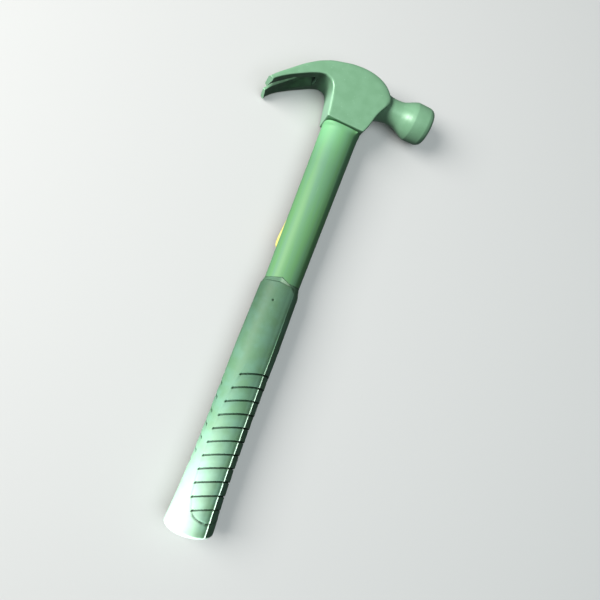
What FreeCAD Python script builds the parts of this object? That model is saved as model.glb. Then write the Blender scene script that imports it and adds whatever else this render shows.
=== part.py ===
import FreeCAD, Part
import math
import os
import Sketcher
from FreeCAD import Rotation, Vector

# Claw hammer with a forged head on a jacketed fibreglass handle, lying on its cheek.
#
# The sizes are measured from the handle's own point: X = 0 and Z = 0 on the handle's centre line, Y = 0 at
# the foot of the head's socket, +X towards the striking face and +Y towards the crown. Each piece is then
# shifted so that the whole hammer is centred in X and Y and lies on Z = 0.

os.makedirs("parts", exist_ok=True)
doc = FreeCAD.newDocument("claw_hammer")
sheet = doc.addObject("Spreadsheet::Sheet", "Sizes")
fits = doc.addObject("Spreadsheet::Sheet", "Fits")

# Every driving size in millimetres, and angles in degrees, grouped by the piece it belongs to.
SIZES = [
    # head: forging outline, seen square to the cheek
    ("cheek_half", 12.5, "half the thickness of cheeks and claw"),
    ("socket_claw_side", 13.6, "handle line to the claw side of the socket foot"),
    ("socket_poll_side", 13.0, "handle line to the poll side of the socket foot"),
    ("flank_run", 16.3, "poll flank where it turns into the scallop"),
    ("flank_height", 9.6, "height of that turn"),
    ("scallop_radius", 43.0, "hollow of the cheek under the neck"),
    ("shoulder_run", 22.4, "poll shoulder, lower corner"),
    ("shoulder_foot", 24.0, "height of that corner"),
    ("brow_run", 23.2, "poll shoulder, upper corner"),
    ("brow_height", 30.0, "height of that corner"),
    ("crown_height", 41.2, "top of the crown above the socket foot"),
    ("crown_radius", 36.0, "round of the crown"),
    ("crown_poll_run", 14.6, "crown's end towards the poll"),
    ("crown_claw_run", 9.0, "crown's end towards the claw"),
    ("nape_run", 24.0, "back of the claw where it starts to bend"),
    ("nape_height", 36.0, "height of that point"),
    ("nape_radius", 14.0, "bend at the back of the claw"),
    ("back_run", 31.0, "back of the claw where the bend ends"),
    ("back_height", 32.2, "height of that point"),
    ("back_radius", 150.0, "long curve of the claw's back"),
    ("tip_back_run", 55.5, "back of the claw where the tip curls"),
    ("tip_back_height", 10.4, "height of that point"),
    ("tip_curl_radius", 12.0, "curl of the tip"),
    ("tip_reach", 59.4, "handle line to the claw's end"),
    ("tip_height", 3.2, "height of the claw's end"),
    ("tip_inner_run", 58.0, "inner corner of the claw's end"),
    ("tip_inner_height", 1.4, "height of that corner"),
    ("throat_radius", 60.0, "curve of the claw's inner side"),
    ("throat_run", 25.0, "inner side where it meets the corner"),
    ("throat_height", 24.0, "height of that point"),
    ("corner_radius", 8.0, "round between claw and socket"),
    ("neckline_run", 16.4, "claw side of the socket under the corner"),
    ("neckline_height", 17.5, "height of that point"),
    ("forging_round", 1.3, "rounded edges of the forging"),
    # head: neck and bell, turned about the poll's axis
    ("poll_height", 27.1, "poll axis above the socket foot"),
    ("neck_start", 19.0, "neck's root inside the cheek"),
    ("neck_root_radius", 11.2, "radius of the root"),
    ("neck_run", 28.0, "narrowest place of the neck"),
    ("neck_radius", 8.9, "radius there"),
    ("root_sweep", 18.0, "hollow between root and neck"),
    ("flare_start", 30.0, "start of the flare"),
    ("flare_sweep", 20.0, "hollow of the flare"),
    ("bell_start", 43.2, "rear rim of the bell"),
    ("bell_radius", 13.5, "radius of the bell"),
    ("chamfer_start", 54.4, "start of the face's chamfer"),
    ("face_reach", 57.0, "handle line to the striking face"),
    ("face_radius", 11.7, "flat radius of the striking face"),
    # head: nail slot
    ("slot_root", 28.5, "handle line to the slot's root"),
    ("slot_root_radius", 1.6, "round of the slot's root"),
    ("slot_tip_half", 4.1, "half the slot's width at the tips"),
    # head: eye
    ("eye_foot_room_x", 3.2, "room for resin beside the rod at the socket foot, across the cheeks"),
    ("eye_foot_room_z", 1.3, "the same, through the cheeks"),
    ("eye_top_room_x", 4.2, "room beside the rod at the crown, across the cheeks"),
    ("eye_top_room_z", 2.0, "the same, through the cheeks"),
    ("eye_overrun", 1.0, "eye's cut past the socket foot and past the crown"),
    # fibreglass core
    ("core_radius", 7.6, "radius of the pultruded rod"),
    ("core_top_gap", 2.4, "rod's top under the crown"),
    ("core_foot_cover", 6.0, "jacket's foot to the rod's lower end"),
    # resin in the eye
    ("resin_top_gap", 3.4, "resin's top under the crown"),
    ("resin_bead", 0.5, "resin showing under the socket"),
    # jacket
    ("jacket_gap", 0.6, "jacket's top under the socket foot"),
    ("jacket_top_wall_x", 5.6, "jacket over the rod under the head, at the sides"),
    ("jacket_top_wall_z", 3.3, "the same, at the cheeks"),
    ("jacket_low_station", 113.0, "station near the grip's mouth"),
    ("jacket_low_wall_x", 4.7, "jacket over the rod there, at the sides"),
    ("jacket_low_wall_z", 2.7, "the same, at the cheeks"),
    ("jacket_foot_cover", 14.0, "end of the butt to the jacket's foot"),
    ("jacket_foot_wall_x", 3.8, "jacket over the rod at its foot, at the sides"),
    ("jacket_foot_wall_z", 2.0, "the same, at the cheeks"),
    # grip sleeve
    ("mouth_top", 112.8, "socket foot to the sleeve's thin edge"),
    ("mouth_lip", 0.5, "thickness of that edge"),
    ("mouth_foot", 117.0, "lower end of the mouth's bevel"),
    ("mouth_wall_x", 1.5, "sleeve over the jacket there, at the sides"),
    ("mouth_wall_z", 1.4, "the same, at the cheeks"),
    ("hand_station", 160.0, "upper hand station"),
    ("hand_wall_x", 2.3, "sleeve over the jacket there, at the sides"),
    ("hand_wall_z", 2.3, "the same, at the cheeks"),
    ("waist_back", 73.0, "end of the butt to the waist"),
    ("waist_wall_x", 2.3, "sleeve over the jacket there, at the sides"),
    ("waist_wall_z", 2.5, "the same, at the cheeks"),
    ("swell_back", 26.0, "end of the butt to the start of its swell"),
    ("swell_wall_x", 3.3, "sleeve over the jacket there, at the sides"),
    ("swell_wall_z", 2.8, "the same, at the cheeks"),
    ("butt_back", 7.0, "end of the butt to its widest place"),
    ("butt_wall_x", 4.5, "sleeve over the jacket there, at the sides"),
    ("butt_wall_z", 3.2, "the same, at the cheeks"),
    ("grip_end", 288.0, "socket foot to the end of the butt"),
    ("butt_round", 4.0, "rounded rim of the butt"),
    # groove panels of the sleeve
    ("seam_angle", 50.0, "mould line, turned from the poll side towards the upper cheek"),
    ("groove_width", 1.2, "width of a groove"),
    ("groove_depth", 1.0, "depth of a groove"),
    ("groove_pitch", 9.06, "groove to groove"),
    ("groove_rise", 26.5, "tilt of a groove towards the mould line"),
    ("groove_reach", 3.0, "palm grooves start this far out from the centre line"),
    ("finger_reach", 8.5, "finger grooves start this far out"),
    ("finger_lead", 1.2, "finger grooves sit this much nearer the butt than the palm ones"),
    ("last_groove_back", 15.3, "end of the butt to the last groove at the centre line"),
    # blank name pad
    ("pad_station", 82.5, "socket foot to the pad's middle"),
    ("pad_sink", 3.3, "jacket's outside to the middle of the pad's dome"),
    ("pad_rise", 5.4, "dome's radius away from the handle"),
    ("pad_half_length", 15.0, "dome's radius along the handle"),
    ("pad_half_width", 6.0, "dome's radius across the handle"),
    ("pad_turn", 14.0, "pad's place round the handle, from the claw side towards the lower cheek"),
    # fits
    ("bond_line", 0.05, "film of adhesive between bonded pieces"),
]
GROOVES = 11
FINGER_GROOVES = 8

# Sizes that follow from the driving ones, so that each piece keeps fitting the piece it holds.
FITS = [
    ("eye_foot_half_x", "{core_radius} + {eye_foot_room_x}"),
    ("eye_foot_half_z", "{core_radius} + {eye_foot_room_z}"),
    ("eye_top_half_x", "{core_radius} + {eye_top_room_x}"),
    ("eye_top_half_z", "{core_radius} + {eye_top_room_z}"),
    ("jacket_top_half_x", "{core_radius} + {jacket_top_wall_x}"),
    ("jacket_top_half_z", "{core_radius} + {jacket_top_wall_z}"),
    ("jacket_low_half_x", "{core_radius} + {jacket_low_wall_x}"),
    ("jacket_low_half_z", "{core_radius} + {jacket_low_wall_z}"),
    ("jacket_foot", "{grip_end} - {jacket_foot_cover}"),
    ("jacket_foot_half_x", "{core_radius} + {jacket_foot_wall_x}"),
    ("jacket_foot_half_z", "{core_radius} + {jacket_foot_wall_z}"),
    ("core_foot", "{grip_end} - {jacket_foot_cover} - {core_foot_cover}"),
    ("waist_station", "{grip_end} - {waist_back}"),
    ("swell_station", "{grip_end} - {swell_back}"),
    ("butt_station", "{grip_end} - {butt_back}"),
    ("first_groove", f"{{grip_end}} - {{last_groove_back}} - {GROOVES - 1} * {{groove_pitch}}"),
]
for place in ("mouth", "hand", "waist", "swell", "butt"):
    FITS.append((place + "_half_x", "{core_radius} + {jacket_low_wall_x} + {" + place + "_wall_x}"))
    FITS.append((place + "_half_z", "{core_radius} + {jacket_low_wall_z} + {" + place + "_wall_z}"))

for row, (alias, value, note) in enumerate(SIZES, start=1):
    sheet.set(f"A{row}", note)
    sheet.set(f"B{row}", str(value))
    sheet.setAlias(f"B{row}", alias)
for row, (alias, formula) in enumerate(FITS, start=1):
    fits.set(f"A{row}", "=" + formula.replace("{", "Sizes.").replace("}", ""))
    fits.setAlias(f"A{row}", alias)
doc.recompute()
FIT_NAMES = [alias for alias, _ in FITS]


def size(alias):
    """Value of one named size."""
    return float((fits if alias in FIT_NAMES else sheet).get(alias))


def bind(item, target, formula):
    """Tie one property or constraint of item to a formula of named sizes, written in braces."""
    for alias in FIT_NAMES:
        formula = formula.replace("{" + alias + "}", "Fits." + alias)
    item.setExpression(target, formula.replace("{", "Sizes.").replace("}", ""))


def move_to_frame(piece, label, height="0"):
    """Label a finished piece and shift it so that the hammer lies centred on Z = 0.

    The height is the piece's own place above the socket foot, as a formula, where its shape has none.
    """
    piece.Label = label
    bind(piece, "Placement.Base.x", "({tip_reach} - {face_reach}) / 2")
    bind(piece, "Placement.Base.y", f"({{grip_end}} - {{crown_height}}) / 2 + {height}")
    bind(piece, "Placement.Base.z", "max({bell_radius}; {butt_half_z}; {cheek_half})")
    return piece


# ---------------------------------------------------------------- sketch helpers


def new_sketch(body, name, role, across=None, up=None):
    """Sketch on one of the body's own origin planes, offset across it and up in it by formulas."""
    sketch = body.newObject("Sketcher::SketchObject", name)
    plane = next(item for item in body.Origin.OriginFeatures if item.Role == role)
    sketch.AttachmentSupport = (plane, [""])
    sketch.MapMode = "FlatFace"
    if across:
        bind(sketch, ".AttachmentOffset.Base.z", across)
    if up:
        bind(sketch, ".AttachmentOffset.Base.y", up)
    return sketch


def dimension(sketch, kind, entities, formula, value):
    """Add one dimension with a starting value and tie it to a formula of named sizes."""
    index = sketch.addConstraint(Sketcher.Constraint(kind, *entities, value))
    bind(sketch, f"Constraints[{index}]", formula)


def arc_between(start, end, radius, side):
    """Anticlockwise arc joining start and end that bulges to the left (+1) or right (-1) of that way."""
    chord = end - start
    sagitta = radius - math.sqrt(radius**2 - (chord.Length / 2) ** 2)
    normal = Vector(-chord.y, chord.x, 0).normalize()
    middle = (start + end) * 0.5 + normal * (side * sagitta)
    return Part.Arc(end, middle, start) if side > 0 else Part.Arc(start, middle, end)


def nearest_end(curve, point):
    """1 or 2, whichever end of the curve lies at the point, as the sketcher numbers ends."""
    return 1 if curve.StartPoint.distanceToPoint(point) < curve.EndPoint.distanceToPoint(point) else 2


def closed_outline(sketch, corners, arcs):
    """Closed outline through corners, with arcs where the dictionary gives a radius and a side.

    A corner is (x size, side of the origin, y size, height). Where the y size is None, the height is only
    the start of the solver's search. An x or y size of "0" holds the corner on that axis.
    """
    points = [Vector(side * (0 if x == "0" else size(x)), height, 0) for x, side, _, height in corners]
    count = len(points)
    numbers = []
    for index, (start, end) in enumerate(zip(points, points[1:] + points[:1])):
        if index in arcs:
            alias, side = arcs[index]
            curve = arc_between(start, end, size(alias), side)
        else:
            curve = Part.LineSegment(start, end)
        numbers.append(sketch.addGeometry(curve, False))
    for index, number in enumerate(numbers):
        follower = numbers[(index + 1) % count]
        joint = points[(index + 1) % count]
        here = nearest_end(sketch.Geometry[number], joint)
        there = nearest_end(sketch.Geometry[follower], joint)
        sketch.addConstraint(Sketcher.Constraint("Coincident", number, here, follower, there))
        if index in arcs:
            alias, _ = arcs[index]
            dimension(sketch, "Radius", (number,), "{" + alias + "}", size(alias))
    for index, (x, side, y, _) in enumerate(corners):
        number = numbers[index]
        here = nearest_end(sketch.Geometry[number], points[index])
        if x == "0":
            sketch.addConstraint(Sketcher.Constraint("PointOnObject", number, here, -2))
        else:
            ends = (-1, 1, number, here) if side > 0 else (number, here, -1, 1)
            dimension(sketch, "DistanceX", ends, "{" + x + "}", size(x))
        if y == "0":
            sketch.addConstraint(Sketcher.Constraint("PointOnObject", number, here, -1))
        elif y:
            dimension(sketch, "DistanceY", (-1, 1, number, here), "{" + y + "}", size(y))
    return numbers


def ellipse_sketch(body, name, across, half_x, half_z):
    """Ellipse square to the handle, centred on its line."""
    sketch = new_sketch(body, name, "XZ_Plane", across=across)
    sketch.addGeometry(Part.Ellipse(Vector(0, 0, 0), size(half_x), size(half_z)), False)
    sketch.exposeInternalGeometry(0)
    sketch.addConstraint(Sketcher.Constraint("Coincident", 0, 3, -1, 1))
    sketch.addConstraint(Sketcher.Constraint("Horizontal", 1))
    dimension(sketch, "Distance", (1,), "2 * {" + half_x + "}", 2 * size(half_x))
    dimension(sketch, "Distance", (2,), "2 * {" + half_z + "}", 2 * size(half_z))
    return sketch


def feature(body, kind, name, profile, **settings):
    """PartDesign feature with its profile and settings, recomputed."""
    item = body.newObject("PartDesign::" + kind, name)
    item.Profile = profile
    for key, value in settings.items():
        setattr(item, key, value)
    doc.recompute()
    return item


# ---------------------------------------------------------------- head


def forging_outline(body):
    """Outline of cheeks and claw, seen square to the cheek, from the socket foot round to the claw."""
    sketch = new_sketch(body, "forging_outline", "XY_Plane")
    crown_centre = size("crown_height") - size("crown_radius")
    crown_poll = crown_centre + math.sqrt(size("crown_radius") ** 2 - size("crown_poll_run") ** 2)
    crown_claw = crown_centre + math.sqrt(size("crown_radius") ** 2 - size("crown_claw_run") ** 2)
    corners = [
        ("socket_claw_side", -1, "0", 0),
        ("socket_poll_side", 1, "0", 0),
        ("flank_run", 1, "flank_height", size("flank_height")),
        ("shoulder_run", 1, "shoulder_foot", size("shoulder_foot")),
        ("brow_run", 1, "brow_height", size("brow_height")),
        ("crown_poll_run", 1, None, crown_poll),
        ("crown_claw_run", -1, None, crown_claw),
        ("nape_run", -1, "nape_height", size("nape_height")),
        ("back_run", -1, "back_height", size("back_height")),
        ("tip_back_run", -1, "tip_back_height", size("tip_back_height")),
        ("tip_reach", -1, "tip_height", size("tip_height")),
        ("tip_inner_run", -1, "tip_inner_height", size("tip_inner_height")),
        ("throat_run", -1, "throat_height", size("throat_height")),
        ("neckline_run", -1, "neckline_height", size("neckline_height")),
    ]
    arcs = {
        2: ("scallop_radius", 1),
        5: ("crown_radius", -1),
        7: ("nape_radius", -1),
        8: ("back_radius", -1),
        9: ("tip_curl_radius", -1),
        11: ("throat_radius", 1),
        12: ("corner_radius", 1),
    }
    numbers = closed_outline(sketch, corners, arcs)
    crown = numbers[5]
    sketch.addConstraint(Sketcher.Constraint("PointOnObject", crown, 3, -2))
    dimension(sketch, "DistanceY", (-1, 1, crown, 3), "{crown_height} - {crown_radius}", crown_centre)
    return sketch


def poll_outline(body):
    """Half outline of neck, bell and face above the poll's axis, which is the sketch's own X axis."""
    sketch = new_sketch(body, "poll_outline", "XY_Plane", up="{poll_height}")
    corners = [
        ("neck_start", 1, "0", 0),
        ("neck_start", 1, "neck_root_radius", size("neck_root_radius")),
        ("neck_run", 1, "neck_radius", size("neck_radius")),
        ("flare_start", 1, "neck_radius", size("neck_radius")),
        ("bell_start", 1, "bell_radius", size("bell_radius")),
        ("chamfer_start", 1, "bell_radius", size("bell_radius")),
        ("face_reach", 1, "face_radius", size("face_radius")),
        ("face_reach", 1, "0", 0),
    ]
    closed_outline(sketch, corners, {1: ("root_sweep", -1), 3: ("flare_sweep", -1)})
    return sketch


def slot_outline(body):
    """Plan of the nail slot: a wedge open at the tips with a round root."""
    sketch = new_sketch(body, "slot_outline", "XZ_Plane")
    mouth = size("tip_reach") + size("slot_tip_half")
    neck = size("slot_root") + size("slot_root_radius")
    root = size("slot_root_radius")
    half = size("slot_tip_half")
    low_mouth = Vector(-mouth, -half, 0)
    high_mouth = Vector(-mouth, half, 0)
    low_neck = Vector(-neck, -root, 0)
    high_neck = Vector(-neck, root, 0)
    sketch.addGeometry(Part.LineSegment(high_mouth, low_mouth), False)
    sketch.addGeometry(Part.LineSegment(low_mouth, low_neck), False)
    sketch.addGeometry(Part.Arc(low_neck, Vector(-size("slot_root"), 0, 0), high_neck), False)
    sketch.addGeometry(Part.LineSegment(high_neck, high_mouth), False)
    for first, end, second, start in ((0, 2, 1, 1), (1, 2, 2, 1), (2, 2, 3, 1), (3, 2, 0, 1)):
        sketch.addConstraint(Sketcher.Constraint("Coincident", first, end, second, start))
    sketch.addConstraint(Sketcher.Constraint("Vertical", 0))
    sketch.addConstraint(Sketcher.Constraint("Vertical", 1, 2, 3, 1))
    sketch.addConstraint(Sketcher.Constraint("PointOnObject", 2, 3, -1))
    dimension(sketch, "DistanceX", (0, 1, -1, 1), "{tip_reach} + {slot_tip_half}", mouth)
    dimension(sketch, "DistanceY", (-1, 1, 0, 1), "{slot_tip_half}", half)
    dimension(sketch, "DistanceY", (0, 2, -1, 1), "{slot_tip_half}", half)
    dimension(sketch, "DistanceX", (2, 3, -1, 1), "{slot_root} + {slot_root_radius}", neck)
    dimension(sketch, "Radius", (2,), "{slot_root_radius}", root)
    return sketch


def build_head():
    """Drop-forged head: cheeks and claw in one plate, turned neck and bell, nail slot and eye."""
    body = doc.addObject("PartDesign::Body", "head")
    outline = forging_outline(body)
    doc.recompute()
    plate = feature(body, "Pad", "forging_plate", outline, SideType="Symmetric")
    bind(plate, "Length", "2 * {cheek_half}")
    doc.recompute()
    rounded = body.newObject("PartDesign::Fillet", "forging_round")
    rounded.Base = (plate, [""])
    rounded.UseAllEdges = True
    bind(rounded, "Radius", "{forging_round}")
    doc.recompute()
    profile = poll_outline(body)
    doc.recompute()
    poll = feature(body, "Revolution", "poll", profile, ReferenceAxis=(profile, ["H_Axis"]), Angle=360)
    before = poll.Shape.Volume
    slot = feature(body, "Pocket", "nail_slot", slot_outline(body), Type="ThroughAll", SideType="Symmetric")
    assert slot.Shape.Volume < before - 100, "the nail slot cuts nothing"
    foot = ellipse_sketch(body, "eye_foot", "{eye_overrun}", "eye_foot_half_x", "eye_foot_half_z")
    past_crown = "{crown_height} + {eye_overrun}"
    top = ellipse_sketch(body, "eye_top", f"-({past_crown})", "eye_top_half_x", "eye_top_half_z")
    doc.recompute()
    before = slot.Shape.Volume
    eye = feature(body, "SubtractiveLoft", "eye", foot, Sections=[top], Ruled=True)
    assert eye.Shape.Volume < before - 100, "the eye cuts nothing"
    body.Tip = eye
    return move_to_frame(body, "head")


# ---------------------------------------------------------------- handle


def ring(name, station, half_x, half_z, shrink="0", grow="0"):
    """Ellipse square to the handle at a station below the socket foot (formulas in named sizes)."""
    item = doc.addObject("Part::Ellipse", name)
    item.Placement.Rotation = Rotation(Vector(1, 0, 0), 90)
    bind(item, "MajorRadius", f"{{{half_x}}} - {shrink} + {grow}")
    bind(item, "MinorRadius", f"{{{half_z}}} - {shrink} + {grow}")
    bind(item, "Placement.Base.y", station)
    return item


def loft(name, rings, ruled=False):
    """Closed solid through rings."""
    item = doc.addObject("Part::Loft", name)
    item.Sections = rings
    item.Solid = True
    item.Ruled = ruled
    return item


def rod(name, radius, top, foot):
    """Round rod along the handle between two heights, given as formulas."""
    item = doc.addObject("Part::Cylinder", name)
    item.Placement.Rotation = Rotation(Vector(1, 0, 0), 90)
    bind(item, "Radius", radius)
    bind(item, "Height", f"({top}) - ({foot})")
    bind(item, "Placement.Base.y", top)
    return item


def cut(name, base, tool):
    """Base without tool."""
    item = doc.addObject("Part::Cut", name)
    item.Base = base
    item.Tool = tool
    return item


def build_core():
    """Pultruded fibreglass rod from just under the crown to inside the butt."""
    top = "{crown_height} - {core_top_gap}"
    core = rod("core_rod", "{core_radius}", top, "-{core_foot}")
    return move_to_frame(core, "fibreglass_core", height=top)


def build_resin():
    """Cast resin that fills the eye round the rod and shows as a bead under the socket."""
    foot = ring("resin_foot", "-{eye_overrun}", "eye_foot_half_x", "eye_foot_half_z", "{bond_line}")
    past_crown = "{crown_height} + {eye_overrun}"
    top = ring("resin_top", past_crown, "eye_top_half_x", "eye_top_half_z", "{bond_line}")
    span = rod("resin_span", "2 * {eye_top_half_x}", "{crown_height} - {resin_top_gap}", "-{resin_bead}")
    plug = doc.addObject("Part::Common", "resin_plug")
    plug.Base = loft("resin_taper", [foot, top], ruled=True)
    plug.Tool = span
    bore = rod("resin_bore", "{core_radius} + {bond_line}", "{crown_height}", "-{resin_bead} - 1")
    return move_to_frame(cut("resin", plug, bore), "eye_resin")


def jacket_rings(name, low_end, grow="0"):
    """Three rings of the jacket's outside, the last at the given height."""
    return [
        ring(name + "_top", "-{jacket_gap}", "jacket_top_half_x", "jacket_top_half_z", grow=grow),
        ring(name + "_low", "-{jacket_low_station}", "jacket_low_half_x", "jacket_low_half_z", grow=grow),
        ring(name + "_foot", low_end, "jacket_foot_half_x", "jacket_foot_half_z", grow=grow),
    ]


def build_jacket():
    """Moulded jacket over the rod, from the socket foot to inside the butt."""
    outside = loft("jacket_outside", jacket_rings("jacket", "-{jacket_foot}"), ruled=True)
    bore = rod("jacket_bore", "{core_radius} + {bond_line}", "1", "-{core_foot} - {bond_line}")
    return move_to_frame(cut("jacket", outside, bore), "shaft_jacket")


def grip_rings(name, shrink="0"):
    """Rings of the sleeve's outside from the mouth's bevel to the end of the butt."""
    return [
        ring(name + "_mouth", "-{mouth_foot}", "mouth_half_x", "mouth_half_z", shrink),
        ring(name + "_hand", "-{hand_station}", "hand_half_x", "hand_half_z", shrink),
        ring(name + "_waist", "-{waist_station}", "waist_half_x", "waist_half_z", shrink),
        ring(name + "_swell", "-{swell_station}", "swell_half_x", "swell_half_z", shrink),
        ring(name + "_butt", "-{butt_station}", "butt_half_x", "butt_half_z", shrink),
    ]


def groove_slabs(name, count, start, reach, turn):
    """Tilted slabs, one for each groove from start down, on the side of the sleeve that turn gives."""
    slabs = []
    span = "3 * {butt_half_x}"
    for index in range(count):
        slab = doc.addObject("Part::Box", f"{name}_{index + 1}")
        slab.Placement.Rotation = Rotation(Vector(0, 0, 1), 45)
        bind(slab, "Placement.Rotation.Angle", "{groove_rise}")
        bind(slab, "Length", "2 * {butt_half_x}")
        bind(slab, "Width", "{groove_width}")
        bind(slab, "Height", span)
        bind(slab, "Placement.Base.x", reach)
        bind(slab, "Placement.Base.y",
             f"-({start}) - {index} * {{groove_pitch}} + {reach} * tan({{groove_rise}})")
        bind(slab, "Placement.Base.z", f"-{span} / 2")
        slabs.append(slab)
    panel = doc.addObject("Part::Compound", name)
    panel.Links = slabs
    panel.Placement.Rotation = Rotation(Vector(0, -1, 0), 45)
    bind(panel, "Placement.Rotation.Angle", turn)
    return panel


def build_grip():
    """Rubber sleeve moulded over the jacket: bevelled mouth, swelling butt and two groove panels."""
    hand = loft("grip_hand", grip_rings("grip"))
    bevel = loft("grip_bevel", [
        ring("bevel_edge", "-{mouth_top}", "jacket_low_half_x", "jacket_low_half_z", grow="{mouth_lip}"),
        ring("bevel_foot", "-{mouth_foot}", "mouth_half_x", "mouth_half_z"),
    ], ruled=True)
    butt = loft("grip_butt", [
        ring("butt_rim", "-{butt_station}", "butt_half_x", "butt_half_z"),
        ring("butt_turn", "-{grip_end} + {butt_round} / 2", "butt_half_x", "butt_half_z",
             "{butt_round} * 0.35"),
        ring("butt_end", "-{grip_end}", "butt_half_x", "butt_half_z", "{butt_round}"),
    ], ruled=True)
    outside = doc.addObject("Part::MultiFuse", "grip_outside")
    outside.Shapes = [bevel, hand, butt]
    cavity_low = "-{jacket_foot} - {bond_line}"
    cavity = loft("grip_cavity", jacket_rings("cavity", cavity_low, grow="{bond_line}"), ruled=True)
    hollow = cut("grip_hollow", outside, cavity)
    slabs = doc.addObject("Part::Compound", "groove_slabs")
    slabs.Links = [
        groove_slabs("palm_groove", GROOVES, "{first_groove}", "{groove_reach}", "{seam_angle}"),
        groove_slabs("finger_groove", FINGER_GROOVES, "{first_groove} + {finger_lead}", "{finger_reach}",
                     "{seam_angle} + 180"),
    ]
    floor = loft("groove_floor", grip_rings("floor", shrink="{groove_depth}"))
    grooves = cut("grooves", slabs, floor)
    return move_to_frame(cut("grip", hollow, grooves), "grip_sleeve")


def build_pad():
    """Blank oval name pad standing on the claw side of the jacket."""
    dome = doc.addObject("Part::Ellipsoid", "pad_dome")
    bind(dome, "Radius1", "{pad_half_width}")
    bind(dome, "Radius2", "{pad_rise}")
    bind(dome, "Radius3", "{pad_half_length}")
    dome.Placement.Rotation = Rotation(Vector(0, -1, 0), 45)
    bind(dome, "Placement.Rotation.Angle", "{pad_turn}")
    bind(dome, "Placement.Base.x", "({pad_sink} - {jacket_low_half_x}) * cos({pad_turn})")
    bind(dome, "Placement.Base.y", "-{pad_station}")
    bind(dome, "Placement.Base.z", "({pad_sink} - {jacket_low_half_x}) * sin({pad_turn})")
    seat = loft("pad_seat", jacket_rings("seat", "-{jacket_foot}", grow="{bond_line}"), ruled=True)
    return move_to_frame(cut("pad", dome, seat), "name_pad")


# ---------------------------------------------------------------- build, check and write


PIECES = [build_head(), build_core(), build_resin(), build_jacket(), build_grip(), build_pad()]
doc.recompute()

for item in doc.Objects:
    faults = [state for state in item.State if state in ("Invalid", "Error")]
    assert not faults, f"{item.Name}: {faults}"
for piece in PIECES:
    assert not piece.Shape.isNull() and piece.Shape.isValid(), f"{piece.Label} has no valid shape"
for piece in PIECES:
    piece.Shape.exportStep(f"parts/{piece.Label}.step")
    box = piece.Shape.optimalBoundingBox(True, False)
    spans = (box.XMin, box.XMax, box.YMin, box.YMax, box.ZMin, box.ZMax)
    print(piece.Label, len(piece.Shape.Solids), f"{piece.Shape.Volume:.0f} mm3", [round(end, 2) for end in spans])
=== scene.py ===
import logging
import math
from dataclasses import dataclass
from enum import Enum

import bpy
import numpy as np
from mathutils import Matrix, Vector


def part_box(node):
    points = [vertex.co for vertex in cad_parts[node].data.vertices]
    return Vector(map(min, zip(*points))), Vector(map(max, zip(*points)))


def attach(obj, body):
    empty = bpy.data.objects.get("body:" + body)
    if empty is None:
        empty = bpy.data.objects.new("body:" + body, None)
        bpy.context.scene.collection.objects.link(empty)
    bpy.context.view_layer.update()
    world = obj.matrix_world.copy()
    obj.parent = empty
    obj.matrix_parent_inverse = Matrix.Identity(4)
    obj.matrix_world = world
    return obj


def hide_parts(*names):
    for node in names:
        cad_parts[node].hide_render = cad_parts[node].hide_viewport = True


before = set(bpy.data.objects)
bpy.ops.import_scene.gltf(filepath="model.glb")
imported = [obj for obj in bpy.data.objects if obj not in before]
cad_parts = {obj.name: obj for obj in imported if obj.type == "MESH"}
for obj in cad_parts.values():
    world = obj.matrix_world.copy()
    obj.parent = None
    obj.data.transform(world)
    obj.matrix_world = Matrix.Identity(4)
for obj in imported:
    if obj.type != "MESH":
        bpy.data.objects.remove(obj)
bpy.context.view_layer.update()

LOG = logging.getLogger("hammer")
MILLIMETRE = 0.001
ROOT = "root"


class Side(Enum):
    """The two mould lines, in degrees round the handle from the striking side towards the upper cheek."""

    SEAM = 50.0
    FAR_SEAM = 230.0


class Operation(Enum):
    """How a tool acts on a piece."""

    CUT = "DIFFERENCE"
    ADD = "UNION"


# ---------------------------------------------------------------- shapes as arrays


@dataclass(frozen=True)
class Datum:
    """The handle's own point, on its line at the foot of the socket, as the frame gives it.

    Shapes are worked out from this point in millimetres: x towards the striking face, y towards the
    crown and z out of the upper cheek.
    """

    origin: tuple[float, float, float]

    @classmethod
    def from_frame(cls) -> "Datum":
        """Read the point from the rod's box and the head's box.

        Returns:
            The datum in the row frame, in metres.
        """
        rod_low, rod_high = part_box("fibreglass_core")
        head_low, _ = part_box("head")
        return cls(((rod_low[0] + rod_high[0]) / 2, head_low[1], (rod_low[2] + rod_high[2]) / 2))

    def place(self, points: np.ndarray) -> np.ndarray:
        """Turn handle millimetres into row metres.

        Args:
            points: Array whose last axis holds x, y and z.

        Returns:
            The same array in the row frame.
        """
        return points * MILLIMETRE + np.array(self.origin)


def spline(points: np.ndarray, spacing: float) -> np.ndarray:
    """Smooth curve through points, at an even spacing.

    Each span is a cubic Hermite curve whose end slopes are the slopes between a point's two
    neighbours, measured along the chords.

    Args:
        points: The points to pass through, one a row.
        spacing: Distance between the curve's samples.

    Returns:
        The samples, one a row, the first and last on the end points.
    """
    points = np.asarray(points, float)
    if len(points) == 2:
        count = max(2, int(np.linalg.norm(points[1] - points[0]) / spacing) + 1)
        return np.linspace(points[0], points[1], count)
    chord = np.concatenate([[0.0], np.cumsum(np.linalg.norm(np.diff(points, axis=0), axis=1))])
    slope = np.gradient(points, chord, axis=0)
    fine = np.linspace(0.0, chord[-1], 40 * len(points))
    span = np.clip(np.searchsorted(chord, fine, side="right") - 1, 0, len(points) - 2)
    width = (chord[span + 1] - chord[span])[:, None]
    part = ((fine - chord[span]) / width[:, 0])[:, None]
    curve = ((2 * part**3 - 3 * part**2 + 1) * points[span]
             + (part**3 - 2 * part**2 + part) * width * slope[span]
             + (3 * part**2 - 2 * part**3) * points[span + 1]
             + (part**3 - part**2) * width * slope[span + 1])
    return evenly(curve, spacing)


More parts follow.
